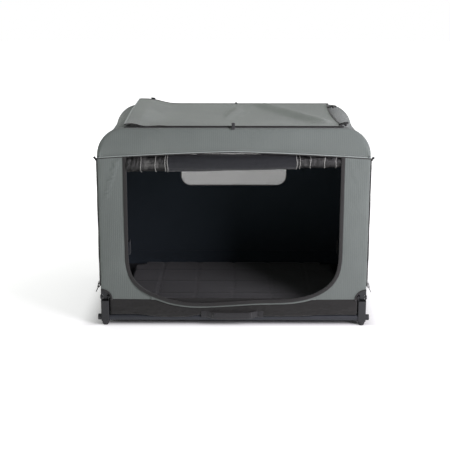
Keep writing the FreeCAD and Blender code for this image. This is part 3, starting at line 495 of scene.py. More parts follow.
def row_tree(name, shape, finish):
    """Geometry nodes that set one small shape at even steps along a line.

    Inputs: Pitch, Length, Width, Height and Sway, how far every second one is set aside."""
    tree = bpy.data.node_groups.new(name, "GeometryNodeTree")
    face = tree.interface
    face.new_socket("Geometry", in_out="INPUT", socket_type="NodeSocketGeometry")
    sizes = {"Pitch": 0.004, "Length": 0.003, "Width": 0.0008, "Height": 0.0008, "Sway": 0.0}
    for key, value in sizes.items():
        face.new_socket(key, in_out="INPUT", socket_type="NodeSocketFloat").default_value = value
    face.new_socket("Geometry", in_out="OUTPUT", socket_type="NodeSocketGeometry")
    new, link = tree.nodes.new, tree.links.new
    given, result = new("NodeGroupInput"), new("NodeGroupOutput")
    curve = new("GeometryNodeMeshToCurve")
    link(given.outputs["Geometry"], curve.inputs[0])
    even = new("GeometryNodeResampleCurve")
    even.mode = "LENGTH"
    link(curve.outputs[0], even.inputs["Curve"])
    link(given.outputs["Pitch"], even.inputs["Length"])
    out = new("GeometryNodeInputNamedAttribute")
    out.data_type = "FLOAT_VECTOR"
    out.inputs["Name"].default_value = "out"
    stand = new("FunctionNodeAlignRotationToVector")
    stand.axis = "Z"
    link(out.outputs["Attribute"], stand.inputs["Vector"])
    tangent = new("GeometryNodeInputTangent")
    turn = new("FunctionNodeAlignRotationToVector")
    turn.axis = "X"
    turn.pivot_axis = "Z"
    link(stand.outputs[0], turn.inputs["Rotation"])
    link(tangent.outputs[0], turn.inputs["Vector"])
    if shape == "stitch":
        item = new("GeometryNodeMeshUVSphere")
        item.inputs["Segments"].default_value = 6
        item.inputs["Rings"].default_value = 4
        item.inputs["Radius"].default_value = 0.5
    else:
        item = new("GeometryNodeMeshCube")
    size = new("ShaderNodeCombineXYZ")
    for axis, key in enumerate(("Length", "Width", "Height")):
        link(given.outputs[key], size.inputs[axis])
    copies = new("GeometryNodeInstanceOnPoints")
    link(even.outputs[0], copies.inputs["Points"])
    link(item.outputs[0], copies.inputs["Instance"])
    link(turn.outputs[0], copies.inputs["Rotation"])
    link(size.outputs[0], copies.inputs["Scale"])
    number = new("GeometryNodeInputIndex")
    odd = new("ShaderNodeMath")
    odd.operation = "MODULO"
    odd.inputs[1].default_value = 2
    link(number.outputs[0], odd.inputs[0])
    centred = new("ShaderNodeMath")
    centred.operation = "SUBTRACT"
    centred.inputs[1].default_value = 0.5
    link(odd.outputs[0], centred.inputs[0])
    aside = new("ShaderNodeMath")
    aside.operation = "MULTIPLY"
    link(centred.outputs[0], aside.inputs[0])
    link(given.outputs["Sway"], aside.inputs[1])
    step = new("ShaderNodeCombineXYZ")
    link(aside.outputs[0], step.inputs[1])
    shift = new("GeometryNodeTranslateInstances")
    shift.inputs["Local Space"].default_value = True
    link(copies.outputs[0], shift.inputs["Instances"])
    link(step.outputs[0], shift.inputs["Translation"])
    solid = new("GeometryNodeRealizeInstances")
    link(shift.outputs[0], solid.inputs[0])
    paint = new("GeometryNodeSetMaterial")
    paint.inputs["Material"].default_value = FINISHES[finish]
    link(solid.outputs[0], paint.inputs["Geometry"])
    link(paint.outputs[0], result.inputs[0])
    return tree


TREES = {}


def row_along(name, lines, shape, finish, pitch, length, width, height, sway=0.0):
    """Stitches or teeth along lines. Each line is a pair: its points and the outward direction at each."""
    key = (shape, finish)
    if key not in TREES:
        TREES[key] = row_tree(f"{shape}_row_{finish}", shape, finish)
    points, edges, outs = [], [], []
    for path, out in lines:
        start = len(points)
        points += [tuple(p) for p in path]
        outs += [tuple(o) for o in out]
        edges += [(start + k, start + k + 1) for k in range(len(path) - 1)]
    mesh = bpy.data.meshes.new(name)
    mesh.from_pydata(points, edges, [])
    mark = mesh.attributes.new("out", "FLOAT_VECTOR", "POINT")
    mark.data.foreach_set("vector", np.array(outs, float).ravel())
    piece = bpy.data.objects.new(name, mesh)
    scene.collection.objects.link(piece)
    rows = piece.modifiers.new("row", "NODES")
    rows.node_group = TREES[key]
    sockets = {s.name: s.identifier for s in TREES[key].interface.items_tree if s.in_out == "INPUT"}
    wanted = {"Pitch": pitch, "Length": length, "Width": width, "Height": height, "Sway": sway}
    for socket, value in wanted.items():
        rows[sockets[socket]] = value
    return settle(piece)


def zip_teeth(name, lines):
    """The two meshing rows of a coil zip's teeth."""
    return row_along(name, lines, "tooth", "black_thread", 0.0026, 0.0016, 0.0042, 0.0022, 0.0016)


def facing(path, direction):
    """The same outward direction at each point of a path."""
    return np.tile(np.asarray(direction, float), (len(path), 1))


# ---------------------------------------------------------------- outlines of the crate's cloth


def seam_z(x, rise=SEAM_RISE):
    """The front seam arches up a little towards the middle."""
    return SEAM_END + rise * (1 - (np.abs(x) / HALF_WIDTH) ** 1.37)


DOOR_HALF = DOOR_HI.x
DOOR_LOW = DOOR_LO.z
DOOR_BEND = 0.193
SILL_X = 0.285
TAPE = 0.013


def sill_sag(x):
    """The sewn sill hangs low left of the middle and is drawn up right of it."""
    return 0.0055 * np.exp(-(((x - 0.10) / 0.09) ** 2)) - 0.0075 * np.exp(-(((x + 0.15) / 0.11) ** 2))


def door_curve(inset=0.0):
    """The door's edge as three runs: down the left jamb and corner, along the sill, up the right."""
    half, low = DOOR_HALF - inset, DOOR_LOW + inset
    turn = np.linspace(0, math.pi / 2, 240)
    x = -half * np.cos(turn) ** (2 / 3.2)
    z = low + DOOR_BEND - DOOR_BEND * np.sin(turn) ** (2 / 3.2)
    split = np.searchsorted(x, -SILL_X)
    jamb = joined([[-half, float(seam_z(half)) + 0.004], [-half, low + DOOR_BEND]],
                  np.stack([x[:split], z[:split]], 1))
    left_sill = np.stack([x[split - 1:], z[split - 1:]], 1)
    sill = joined(left_sill, left_sill[::-1] * [-1, 1])
    sill[:, 1] += sill_sag(sill[:, 0]) * np.clip((SILL_X - np.abs(sill[:, 0])) / 0.06, 0, 1)
    return jamb, sill, jamb[::-1] * [-1, 1]


def quarter(centre, radius_x, radius_z, start, stop, count=14):
    turn = np.radians(np.linspace(start, stop, count))
    return np.stack([centre[0] + radius_x * np.cos(turn), centre[1] + radius_z * np.sin(turn)], 1)


def notched_side(half, top, low, notch):
    """One side of a wall's outline: down its edge and round the notch over the corner post."""
    curve = quarter((-half, low), notch, NOTCH_Z - low, 90, 0)
    return np.concatenate([[[-half, top]], curve])


def rounded_box(half, low, high, radius):
    """The four sides of a rounded rectangle: left going down, bottom, right going up, top."""
    middle = (low + high) / 2
    tall = (high - low) / 2
    corner = quarter((0, 0), radius, radius, 0, 90, 17)

    def side(sx, sz, swap):
        arc = corner[::-1] if swap else corner
        return arc * [sx, sz] + [(half - radius) * sx, middle + (tall - radius) * sz]

    top_left = side(-1, 1, True)
    low_left = side(-1, -1, False)
    low_right = side(1, -1, True)
    top_right = side(1, 1, False)
    k = 8
    left = np.concatenate([top_left[k:], low_left[: k + 1]])
    bottom = np.concatenate([low_left[k:], low_right[: k + 1]])
    right = np.concatenate([low_right[k:], top_right[: k + 1]])
    top = np.concatenate([top_right[k:], top_left[: k + 1]])
    return left, bottom, right, top


# ---------------------------------------------------------------- walls hung on the base


def fall(piece):
    """A wall sewn to the base is hung on the base's empty, with a mesh of its own."""
    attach(piece, "base")
    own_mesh(piece)


# ---------------------------------------------------------------- front wall, door edge and header

FRONT_Y = FRONT_LO.y


def wall_edge(line, radius, y):
    """Rows that turn a front wall's outer edge back round the corner."""
    run = tangents(line)
    side = np.stack([run[:, 1], -run[:, 0]], 1)
    rows = []
    for back, turn in ((0.007, 0), (0.0, 0), (0.0, 30), (0.0, 60), (0.0, 90)):
        t = math.radians(turn)
        spot = line - side * radius[:, None] * (1 - math.cos(t))
        depth = y + radius * (1 - math.sin(t)) + back
        rows.append(np.stack([spot[:, 0], depth, spot[:, 1]], 1))
    return np.array(rows), line - side * radius[:, None]


def front_wall():
    """Two jambs and a low sill round the door, cut from grey cloth with a black lining."""
    jamb, sill, _ = door_curve(TAPE - 0.002)
    edge = notched_side(HALF_WIDTH, float(seam_z(HALF_WIDTH)) + 0.004, SKIRT_TOP, HALF_WIDTH - NOTCH_X)
    edge = np.concatenate([edge, [[-SILL_X, SKIRT_TOP - 0.001]]])
    outer = spaced(edge, 190)
    inner_jamb = np.concatenate([spaced(jamb[:2], 110), spaced(jamb[1:], 81)[1:]])
    pieces = []
    for side in (-1, 1):
        upright = np.clip((outer[:, 1] - NOTCH_Z) / 0.02, 0, 1)
        radius = 0.0018 + 0.0042 * upright
        edge_rows, start = wall_edge(outer, radius, FRONT_Y)
        face = loft(start, inner_jamb, 26)
        x, z = face[..., 0], face[..., 1]
        lift = 0.0026 * ripple(x, z, 0.24, 5 + side) + 0.0009 * ripple(x, z, 0.06, 11 + side)
        lift += corner_folds(x, z, side)
        inside = np.sin(np.linspace(0, math.pi, 27))[:, None] ** 0.5
        puff = 0.003 * inside * np.clip((z - 0.10) / 0.12, 0, 1)
        y = FRONT_Y - puff - lift * inside
        front = np.stack([x, y, z], -1)
        rows = np.concatenate([edge_rows[:-1], front])
        flat = rows[..., [0, 2]].copy()
        flat[0, :, 0] -= 0.012
        rows = rows * [-side, 1, 1]
        flat = flat * [-side, 1]
        piece = cloth_grid(f"front_jamb_{'right' if side > 0 else 'left'}", rows, flat,
                           LINED, toward=(0, -1, 0))
        thicken(piece)
        fall(piece)
        pieces.append(piece)
    under = door_curve(-0.0045)[1]
    low = spaced(under, 160)
    low[:, 1] = np.minimum(low[:, 1], SKIRT_TOP - 0.001)
    high = spaced(sill, 160)
    face = loft(low, high, 6)
    x, z = face[..., 0], face[..., 1]
    y = FRONT_Y - 0.0030 - 0.0010 * ripple(x, z * 0.3, 0.16, 21)
    strip = cloth_grid("front_sill", np.stack([x, y, z], -1), face, LINED, toward=(0, -1, 0))
    thicken(strip)
    fall(strip)
    for piece in pieces:
        declare(piece)
    declare(strip)
    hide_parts("front_panel")


def notch_edges():
    """Narrow binding round the cuts over the front posts."""
    arc = spaced(quarter((-HALF_WIDTH, SKIRT_TOP), HALF_WIDTH - NOTCH_X, NOTCH_Z - SKIRT_TOP, 88, -4, 30), 50)
    made = []
    for sign in (-1, 1):
        path = np.stack([arc[:, 0] * -sign, np.full(50, FRONT_Y - 0.0006), arc[:, 1]], 1)
        out = facing(path, (0, -1, 0))
        across = np.cross(out, tangents(path))
        made.append(sweep("notch_tape", path, across, oval(0.006, 0.0036, 10), ["black_binding"], out=out))
    tape = join(made, "notch_binding")
    fall(tape)


def corner_folds(x, z, side):
    """Small slanting wrinkles where the jamb meets the header, deepest on the left."""
    deep = 1.0 if side < 0 else 0.3
    pick = np.random.default_rng(7)
    total = 0.0
    for k in range(11):
        top = -0.383 - 0.0042 * k + pick.uniform(-0.002, 0.002)
        high = 0.588 - 0.0125 * k
        length = pick.uniform(0.010, 0.024)
        a = (top, high)
        b = (top - length, high - length * 0.55)
        total = total + fold(x, z, a, b, 0.0036, pick.uniform(0.0018, 0.0036) * deep)
    return total


def door_edge():
    """The door's woven binding, folded over the cloth's raw edge and stitched."""
    jamb, sill, right = door_curve(TAPE / 2)
    jamb[0, 1] -= 0.006
    right[-1, 1] -= 0.006
    line = spaced(joined(jamb, sill, right), 420)
    run = tangents(line)
    side = np.stack([-run[:, 1], run[:, 0]], 1)
    low_down = np.clip((0.20 - line[:, 1]) / 0.08, 0, 1)
    y = FRONT_Y - 0.0016 - 0.0026 * low_down - 0.0006 * ripple(line[:, 0], line[:, 1], 0.12, 3)
    path = np.stack([line[:, 0], y, line[:, 1]], 1)
    across = np.stack([side[:, 0], np.zeros(len(side)), side[:, 1]], 1)
    out = facing(path, (0, -1, 0))
    tape = sweep("door_binding_tape", path, across, oval(TAPE, 0.0048, 14), ["black_binding"], out=out)
    fall(tape)
    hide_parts("door_binding")
    rows = []
    for aside in (-0.0040, 0.0042):
        rows.append((path + across * aside + out * 0.0019, out))
    stitches = row_along("door_binding_stitches", rows, "stitch", "black_thread", 0.0042, 0.0030, 0.0008,
                         0.0007)
    fall(stitches)


def header(end):
    """The band under the roof at one end: an upright face, rounded over its hoop onto the roof."""
    toward = -1 if end == "front" else 1
    arch = SEAM_RISE if end == "front" else 0.0
    bend = 0.007
    arc = quarter((-HALF_WIDTH + SHOULDER, SHOULDER_Z), SHOULDER, SHOULDER, 180, 90, 34)
    rise = np.stack([np.full(3, -HALF_WIDTH), np.linspace(SEAM_END, SHOULDER_Z, 4)[:3]], 1)
    top = np.stack([np.linspace(-HALF_WIDTH + SHOULDER, 0, 66)[1:], np.full(65, ROOF)], 1)
    half = np.concatenate([rise, arc, top])
    line = np.concatenate([half, half[-2::-1] * [-1, 1]])
    run = tangents(line)
    side = np.stack([-run[:, 1], run[:, 0]], 1)
    start = line - side * bend
    foot = np.stack([start[:, 0], seam_z(start[:, 0], arch)], 1)
    foot[:, 1] = np.minimum(foot[:, 1], start[:, 1])
    face = loft(foot, start, 18)
    x, z = face[..., 0], face[..., 1]
    share = np.linspace(0, 1, 19)[:, None]
    inside = np.sin(share * math.pi) ** 0.6
    wave = 0.0030 * ripple(x, z, 0.30, 31) + 0.0012 * ripple(x, z, 0.08, 33)
    hem = 0.0012 * np.exp(-(((z - seam_z(x, arch)) / 0.005) ** 2))
    lift = (0.0045 + wave) * inside + hem
    depth = HALF_DEPTH + lift
    rows = [np.stack([x, depth, z], -1)]
    for turn, back in ((60, 0), (30, 0), (0, 0), (0, 0.005), (0, 0.010)):
        t = math.radians(turn)
        spot = start + side * bend * math.cos(t)
        deep = HALF_DEPTH - bend * (1 - math.sin(t)) - back
        rows.append(np.stack([spot[:, 0], np.full(len(spot), deep), spot[:, 1]], -1)[None])
    rows = np.concatenate(rows)
    flat = np.stack([rows[..., 0], rows[..., 2]], -1)
    for k in range(5):
        flat[19 + k, :, 1] = flat[18, :, 1] + 0.0035 * (k + 1)
    rows[..., 1] *= toward
    piece = cloth_grid(f"{end}_header_cloth", rows, flat, LINED, toward=(0, toward, 0.2))
    thicken(piece)
    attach(piece, "roof")
    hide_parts(f"{end}_header")
    declare(piece)
    xs = np.linspace(-HALF_WIDTH + 0.001, HALF_WIDTH - 0.001, 240)
    cord = np.stack([xs, np.full(240, toward * (HALF_DEPTH + 0.0022)), seam_z(xs, arch) - 0.0005], 1)
    run = tangents(cord)
    out = facing(cord, (0, toward, 0))
    across = np.cross(out, run)
    piping = sweep(f"{end}_seam_piping", cord, across, oval(0.0034, 0.0034, 8), ["grey_piping"], out=out)
    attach(piping, "roof")
    # Painted shadow: a black band just under the piping stands in for the shade the piping casts.
    shade = cord - [0, 0, 0.0036]
    under = sweep(f"{end}_seam_shadow_band", shade, across, oval(0.0036, 0.0024, 8), ["black_binding"], out=out)
    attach(under, "roof")
    stitched = cord + [0, 0, 0.0062] + out * 0.0012
    seam = row_along(f"{end}_header_stitches", [(stitched, out)], "stitch", "grey_thread", 0.0040, 0.0030,
                     0.0009, 0.0007)
    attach(seam, "roof")


# ---------------------------------------------------------------- other walls


def ring_wall(name, half, top, low, opening, place, toward, seed, puff=0.003):
    """A wall of grey cloth with a netted window: outline to window edge, notched over the posts."""
    notch = HALF_WIDTH - NOTCH_X
    left = notched_side(half, top, low, notch)
    right = left[::-1] * [-1, 1]
    bottom = np.array([[-half + notch, low], [half - notch, low]])
    lid = np.array([[half, top], [-half, top]])
    counts = (90, 70, 90, 70)
    outer = [spaced(run, n) for run, n in zip((left, bottom, right, lid), counts)]
    inner = [spaced(run, n) for run, n in zip(rounded_box(*opening), counts)]
    outer = joined(*outer)[:-1]
    inner = joined(*inner)[:-1]
    face = loft(outer, inner, 24)
    u, z = face[..., 0], face[..., 1]
    inside = np.sin(np.linspace(0, math.pi, 25))[:, None] ** 0.6
    lift = (puff + 0.0022 * ripple(u, z, 0.3, seed) + 0.0008 * ripple(u, z, 0.07, seed + 1)) * inside
    piece = cloth_grid(name, place(u, z, lift), face, LINED, wrap=True, toward=toward)
    thicken(piece)
    return piece


def window_net(name, opening, place, toward, finish, depth):
    """The net in a window, a little slack in its middle."""
    half, low, high, radius = opening
    sides = rounded_box(half + 0.004, low - 0.004, high + 0.004, radius + 0.004)
    edge = joined(*[spaced(run, 50) for run in sides])[:-1]
    middle = np.array([0, (low + high) / 2])
    face = loft(edge, middle + (edge - middle) * 0.002, 16)
    u, v = face[..., 0], face[..., 1]
    inside = np.sin(np.linspace(0, math.pi / 2, 17))[:, None] ** 2
    sag = depth + 0.0025 * ripple(u, v, 0.25, 61) * inside
    net = cloth_grid(name, place(u, v, sag), face, [finish], wrap=True, toward=toward)
    close_middle(net)
    return net


def window_frame(opening, place_line, out):
    """The line of the tape sewn round a window, with its section's two directions."""
    half, low, high, radius = opening
    line = joined(*rounded_box(half + 0.002, low - 0.002, high + 0.002, radius + 0.002))
    line = spaced(line, 260)
    path = place_line(line)
    run = tangents(path)
    run[0] = run[-1] = (run[0] + run[-1]) / 2
    facing_out = facing(path, out)
    across = np.cross(facing_out, run)
    return path, across, facing_out


def rear_wall():
    opening = (REAR_WINDOW_HI.x, REAR_WINDOW_LO.z, REAR_WINDOW_HI.z, 0.040)

    def place(x, z, lift):
        return np.stack([x, HALF_DEPTH + lift, z], -1)

    top = SEAM_END + 0.010
    wall = ring_wall("rear_wall", HALF_WIDTH, top, SKIRT_TOP - 0.004, opening, place, (0, 1, 0), 41)
    fall(wall)
    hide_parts("rear_panel")
    declare(wall)
    net = window_net("rear_window_net", opening, place, (0, 1, 0), "pale_mesh", -0.0006)
    fall(net)
    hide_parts("rear_window_mesh")
    declare(net)

    def place_line(line):
        return np.stack([line[:, 0], np.full(len(line), HALF_DEPTH + 0.0016), line[:, 1]], 1)

    path, across, out = window_frame(opening, place_line, (0, 1, 0))
    tape = sweep("rear_window_tape", path, across, oval(0.009, 0.0026, 10), ["black_binding"], out=out)
    fall(tape)
    rows = [(path + across * s + out * 0.0013, out) for s in (-0.003, 0.003)]
    seam = row_along("rear_window_stitches", rows, "stitch", "black_thread", 0.0042, 0.003, 0.0008, 0.0007)
    fall(seam)


def side_wall(side):
    sign = -1 if side == "left" else 1
    opening = (SIDE_WINDOW_HI.y, SIDE_WINDOW_LO.z, SIDE_WINDOW_HI.z, 0.045)

    def place(y, z, lift):
        return np.stack([sign * (HALF_WIDTH - 0.0012 + lift * 0.5), y, z], -1)

    half = HALF_DEPTH - 0.004
    wall = ring_wall(f"{side}_wall", half, SHOULDER_Z, SKIRT_TOP - 0.004, opening, place, (sign, 0, 0),
                     51 + sign)
    fall(wall)
    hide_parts(f"{side}_panel")
    declare(wall)
    net = window_net(f"{side}_window_net", opening, place, (sign, 0, 0), "dark_mesh", -0.0006)
    fall(net)
    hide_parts(f"{side}_window_mesh")
    declare(net)
    for end in (-1, 1):
        z = np.linspace(NOTCH_Z + 0.012, SHOULDER_Z - 0.012, 120)
        deep = end * (HALF_DEPTH - 0.0125)
        wave = 0.0012 * ripple(z, z, 0.13, 71 + end)
        path = np.stack([sign * (HALF_WIDTH + 0.0018 + wave), np.full(120, deep), z], 1)
        out = facing(path, (sign, 0, 0))
        across = np.cross(out, tangents(path))
        place_name = "front" if end < 0 else "rear"
        section = oval(0.018, 0.0028, 10)
        tape = sweep(f"{side}_corner_tape_{place_name}", path, across, section, ["black_binding"], out=out)
        fall(tape)
        teeth = zip_teeth(f"{side}_corner_teeth_{place_name}", [(path + out * 0.002, out)])
        fall(teeth)


def side_flap(side):
    """The cover over a side window, zipped shut round three edges and sewn along its top."""
    sign = -1 if side == "left" else 1
    half, low, high, radius = FLAP_HI.y - 0.006, FLAP_LO.z + 0.006, FLAP_HI.z - 0.001, 0.055
    outer = joined(*[spaced(run, 60) for run in rounded_box(half, low, high, radius)])[:-1]
    centre = np.array([0, (low + high) / 2])
    face = loft(outer, centre + (outer - centre) * 0.002, 22)
    y, z = face[..., 0], face[..., 1]
    inside = np.linspace(0, 1, 23)[:, None] ** 0.5
    lift = (0.003 + 0.002 * ripple(y, z, 0.24, 81 + sign)) * inside
    place = np.stack([sign * (HALF_WIDTH + 0.0018 + lift), y, z], -1)
    cover = cloth_grid(f"{side}_door_cover", place, face, LINED, wrap=True, toward=(sign, 0, 0))
    close_middle(cover)
    thicken(cover)
    body = f"{side}_flap"

    def settle_on_flap(piece):
        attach(piece, body)
        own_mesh(piece)

    settle_on_flap(cover)
    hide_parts(f"{side}_door_flap")
    declare(cover)
    line = spaced(joined(*rounded_box(half + 0.004, low - 0.004, high - 0.004, radius + 0.004)[:3]), 300)
    path = np.stack([np.full(300, sign * (HALF_WIDTH + 0.0022)), line[:, 0], line[:, 1]], 1)
    out = facing(path, (sign, 0, 0))
    across = np.cross(out, tangents(path))
    tape = sweep(f"{side}_door_zip_tape", path, across, oval(0.016, 0.0022, 10), ["black_binding"], out=out)
    settle_on_flap(tape)
    teeth = zip_teeth(f"{side}_door_zip_teeth", [(path + out * 0.0016, out)])
    settle_on_flap(teeth)


def close_middle(piece):
    """Closes the small hole that a ring of faces leaves in the middle of a sheet."""
    work = bmesh.new()
    work.from_mesh(piece.data)
    loops = [e for e in work.edges if e.is_boundary]
    small = [e for e in loops if e.calc_length() < 0.0008]
    if small:
        bmesh.ops.holes_fill(work, edges=small, sides=0)
    work.to_mesh(piece.data)
    work.free()


# ---------------------------------------------------------------- roof


def shoulder(side):
    """The rounded band between a side wall and the flat roof."""
    sign = -1 if side == "left" else 1
    inset = 0.0013
    turn = np.radians(np.linspace(180, 90, 30))
    reach = SHOULDER - inset
    curve = np.stack([-HALF_WIDTH + SHOULDER + reach * np.cos(turn), SHOULDER_Z + reach * np.sin(turn)], 1)
    hem = np.stack([np.full(4, curve[0, 0] - 0.0022), np.linspace(SHOULDER_Z - 0.016, SHOULDER_Z - 0.002, 4)],
                   1)
    curve = np.concatenate([hem, curve, [[curve[-1, 0] + 0.012, curve[-1, 1]]]])
    y = np.linspace(-HALF_DEPTH + 0.008, HALF_DEPTH - 0.008, 90)
    length = reach_along(curve)
    grid_y, grid_s = np.meshgrid(y, length, indexing="ij")
    rows = np.zeros((len(y), len(curve), 3))
    run = tangents(curve)
    out = np.stack([-run[:, 1], run[:, 0]], 1)
    between_hoops = np.clip(1 - (y / 0.284) ** 2, 0, 1)[:, None]
    slack = 0.0095 * between_hoops ** 0.7 * np.sin(np.clip(grid_s / length[-1], 0, 1) * math.pi)
    slack = slack - 0.0012 * ripple(grid_y, grid_s, 0.18, 91 + sign) * np.clip(between_hoops * 4, 0, 1)
    rows[..., 0] = sign * -(curve[:, 0] - out[:, 0] * slack)
    rows[..., 1] = grid_y
    rows[..., 2] = curve[:, 1] - out[:, 1] * slack
    piece = cloth_grid(f"{side}_shoulder", rows, np.stack([grid_y, grid_s], -1), LINED, toward=(sign, 0, 1))
    thicken(piece)
    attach(piece, "roof")
    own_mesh(piece)
    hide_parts(f"{side}_header")
    declare(piece)


def roof_sag(x, y):
    """How far the roof hangs below its hoops."""
    across = np.clip(1 - (np.abs(x) / HALF_WIDTH) ** 4, 0, 1)
    return 0.005 * across * np.clip(1 - (y / HALF_DEPTH) ** 2, 0, 1)


def roof():
    """The flat roof with its netted opening."""
    half = ROOF_HI.x + 0.002
    deep = HALF_DEPTH - 0.008
    opening = rounded_box(NET_HI.x, NET_LO.y, NET_HI.y, 0.045)
    outer = [np.array(run) for run in (
        [[-half, deep], [-half, -deep]], [[-half, -deep], [half, -deep]],
        [[half, -deep], [half, deep]], [[half, deep], [-half, deep]])]
    counts = (80, 100, 80, 100)
    line = joined(*[spaced(run, n) for run, n in zip(outer, counts)])[:-1]
    hole = joined(*[spaced(run, n) for run, n in zip(opening, counts)])[:-1]
    face = loft(line, hole, 8)
    x, y = face[..., 0], face[..., 1]
    z = ROOF - 0.0012 - roof_sag(x, y)
    piece = cloth_grid("roof_cloth", np.stack([x, y, z], -1), face, LINED, wrap=True, toward=(0, 0, 1))
    thicken(piece)
    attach(piece, "roof")
    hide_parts("roof_panel")
    declare(piece)
    u, v = np.meshgrid(np.linspace(NET_LO.x - 0.004, NET_HI.x + 0.004, 44),
                       np.linspace(NET_LO.y - 0.004, NET_HI.y + 0.004, 36))
    z = ROOF - 0.0028 - roof_sag(u, v)
    net = cloth_grid("roof_net", np.stack([u, v, z], -1), np.stack([u, v], -1), ["dark_mesh"],
                     toward=(0, 0, 1))
    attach(net, "roof")
    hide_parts("hatch_mesh")
    declare(net)


def hatch_height(x, y):
    """The height of the roof cover: slack folds, and its left edge unzipped and lifted."""
    edge_x, edge_y = HATCH_HI.x, HATCH_HI.y
    from_left = x + edge_x
    along = (y + edge_y) / (2 * edge_y)
    lift = 0.008 + 0.012 * np.clip(along * 2.5, 0, 1)
    reach = 0.055 + 0.045 * along
    curl = lift * np.exp(-((from_left / reach) ** 3.4))
    z = HATCH_LO.z + 0.0026 - 0.8 * roof_sag(x, y) * np.clip(from_left / 0.15, 0, 1)
    slack = np.clip((edge_x - np.abs(x)) / 0.05, 0, 1) * np.clip((edge_y - np.abs(y)) / 0.05, 0, 1)
    waves = 0.0045 * ripple(x, y, 0.42, 101) + 0.0016 * ripple(x, y, 0.13, 103)
    waves = waves + fold(x, y, (0.10, 0.28), (0.33, -0.24), 0.030, 0.0165)
    waves = waves - fold(x, y, (0.02, 0.27), (0.25, -0.26), 0.034, 0.0095)
    waves = waves + fold(x, y, (0.03, 0.25), (-0.02, -0.05), 0.018, 0.0055)
    waves = waves - fold(x, y, (0.08, 0.25), (0.05, -0.02), 0.020, 0.0045)
    waves = waves + fold(x, y, (-0.25, 0.22), (-0.31, -0.22), 0.040, 0.0060)
    wavy = 0.0018 * np.sin(x * 70) * np.exp(-((y + edge_y) / 0.02) ** 2) * (x < -0.22)
    height = z + curl + waves * slack + wavy
    lowest = ROOF + 0.0022 - roof_sag(x, y) * slack
    above = height - lowest
    return lowest + (above + np.sqrt(above ** 2 + 0.004 ** 2)) / 2


def hatch_edge(y):
    """How far the cover's right edge is drawn in between its corners."""
    share = np.clip(y / HATCH_HI.y, -1, 1)
    return 0.014 * np.clip(1 - share ** 2, 0, 1)


def on_hatch(x, y):
    right = np.clip((x - 0.15) / (HATCH_HI.x - 0.15), 0, 1)
    return x - hatch_edge(y) * right ** 2


def hatch():
    """The zipped cover over the roof net, with black tape along three edges and a rounded left edge whose
    pale piping is a painted highlight on that lifted fold.
    """
    edge_x, edge_y = HATCH_HI.x - 0.002, HATCH_HI.y - 0.002
    x, y = np.meshgrid(np.linspace(-edge_x, edge_x, 150), np.linspace(-edge_y, edge_y, 120))
    z = hatch_height(x, y)
    rows = np.stack([on_hatch(x, y), y, z], -1)
    cover = cloth_grid("hatch_cover", rows, np.stack([x, y], -1), ["hatch_cloth", "black_lining"],
                       toward=(0, 0, 1))
    thicken(cover)
    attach(cover, "hatch")
    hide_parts("hatch_flap")
    around = np.array([[-edge_x, -edge_y], [edge_x, -edge_y], [edge_x, edge_y], [-edge_x, edge_y],
                       [-edge_x, -edge_y]])
    names = ("front", "right", "rear", "left")
    for k, name in enumerate(names):
        line = spaced(around[k:k + 2], 170)
        z = hatch_height(line[:, 0], line[:, 1])
        path = np.stack([on_hatch(line[:, 0], line[:, 1]), line[:, 1], z], 1)
        run = tangents(path)
        out = facing(path, (0, 0, 1))
        across = np.cross(out, run)
        wide = 0.007 if name in ("front", "right") else 0.005
        # Painted highlight: the lifted left edge takes the pale piping where light catches its fold.
        finish = "grey_piping" if name == "left" else "black_binding"
        tape = sweep(f"hatch_tape_{name}", path, across, oval(wide, 0.0034, 10), [finish], out=out)
        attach(tape, "hatch")
    declare(cover)
    zips = []
    gap = 0.004
    for name, a, b in (("front", (-edge_x, -edge_y - gap), (edge_x, -edge_y - gap)),
                       ("rear", (-edge_x, edge_y + gap), (edge_x, edge_y + gap))):
        line = spaced([a, b], 200)
        path = np.stack([line[:, 0], line[:, 1], np.full(200, ROOF + 0.0012)], 1)
        zips.append((path, facing(path, (0, 0, 1))))
        out = facing(path, (0, 0, 1))
        across = np.cross(out, tangents(path))
        tape = sweep(f"roof_zip_tape_{name}", path, across, oval(0.012, 0.0018, 8), ["black_binding"],
                     out=out)
        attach(tape, "roof")
    teeth = zip_teeth("roof_zip_teeth", [(p + o * 0.0012, o) for p, o in zips])
    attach(teeth, "roof")


def strap_loop(name, centre, width, length, lean, thickness=0.0016):
    """A short folded webbing tab that stands on its sewn end and leans back."""
    turn = np.linspace(0, 1, 26)
    half = 0.0026
    up = np.concatenate([turn[:12] / turn[11], np.ones(2), 1 - turn[:12] / turn[11]])
    side = np.concatenate([np.full(12, -half), [-half * 0.5, half * 0.5], np.full(12, half)])
    height = up * length
    height[12:14] += half * 0.9
    y = centre[1] + side + height * math.sin(lean)
    z = centre[2] + height * math.cos(lean)
    path = np.stack([np.full(26, centre[0]), y, z], 1)
    across = facing(path, (1, 0, 0))
    out = np.cross(tangents(path), across)
    return sweep(name, path, across, oval(width, thickness, 10), ["webbing"], out=out)


def roof_tabs():
    front = strap_loop("hatch_tab_front", (-0.002, -HALF_DEPTH - 0.0035, ROOF - 0.004), 0.011, 0.020, 0.25)
    rear = strap_loop("hatch_tab_rear", (0.009, HALF_DEPTH - 0.012, ROOF + 0.001), 0.009, 0.005, 0.3)
    for piece in (front, rear):
        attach(piece, "roof")
    x = np.linspace(-0.322, -0.306, 12)
    edge = np.full(12, HATCH_HI.y - 0.002)
    path = np.stack([x, edge, hatch_height(x, edge) + 0.0035], 1)
    across, out = facing(path, (0, -1, 0)), facing(path, (0, 0, 1))
    pull = sweep("hatch_lifting_tab", path, across, oval(0.003, 0.008, 10), ["webbing"], out=out)
    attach(pull, "hatch")


# ---------------------------------------------------------------- rolled mesh door and rear cover


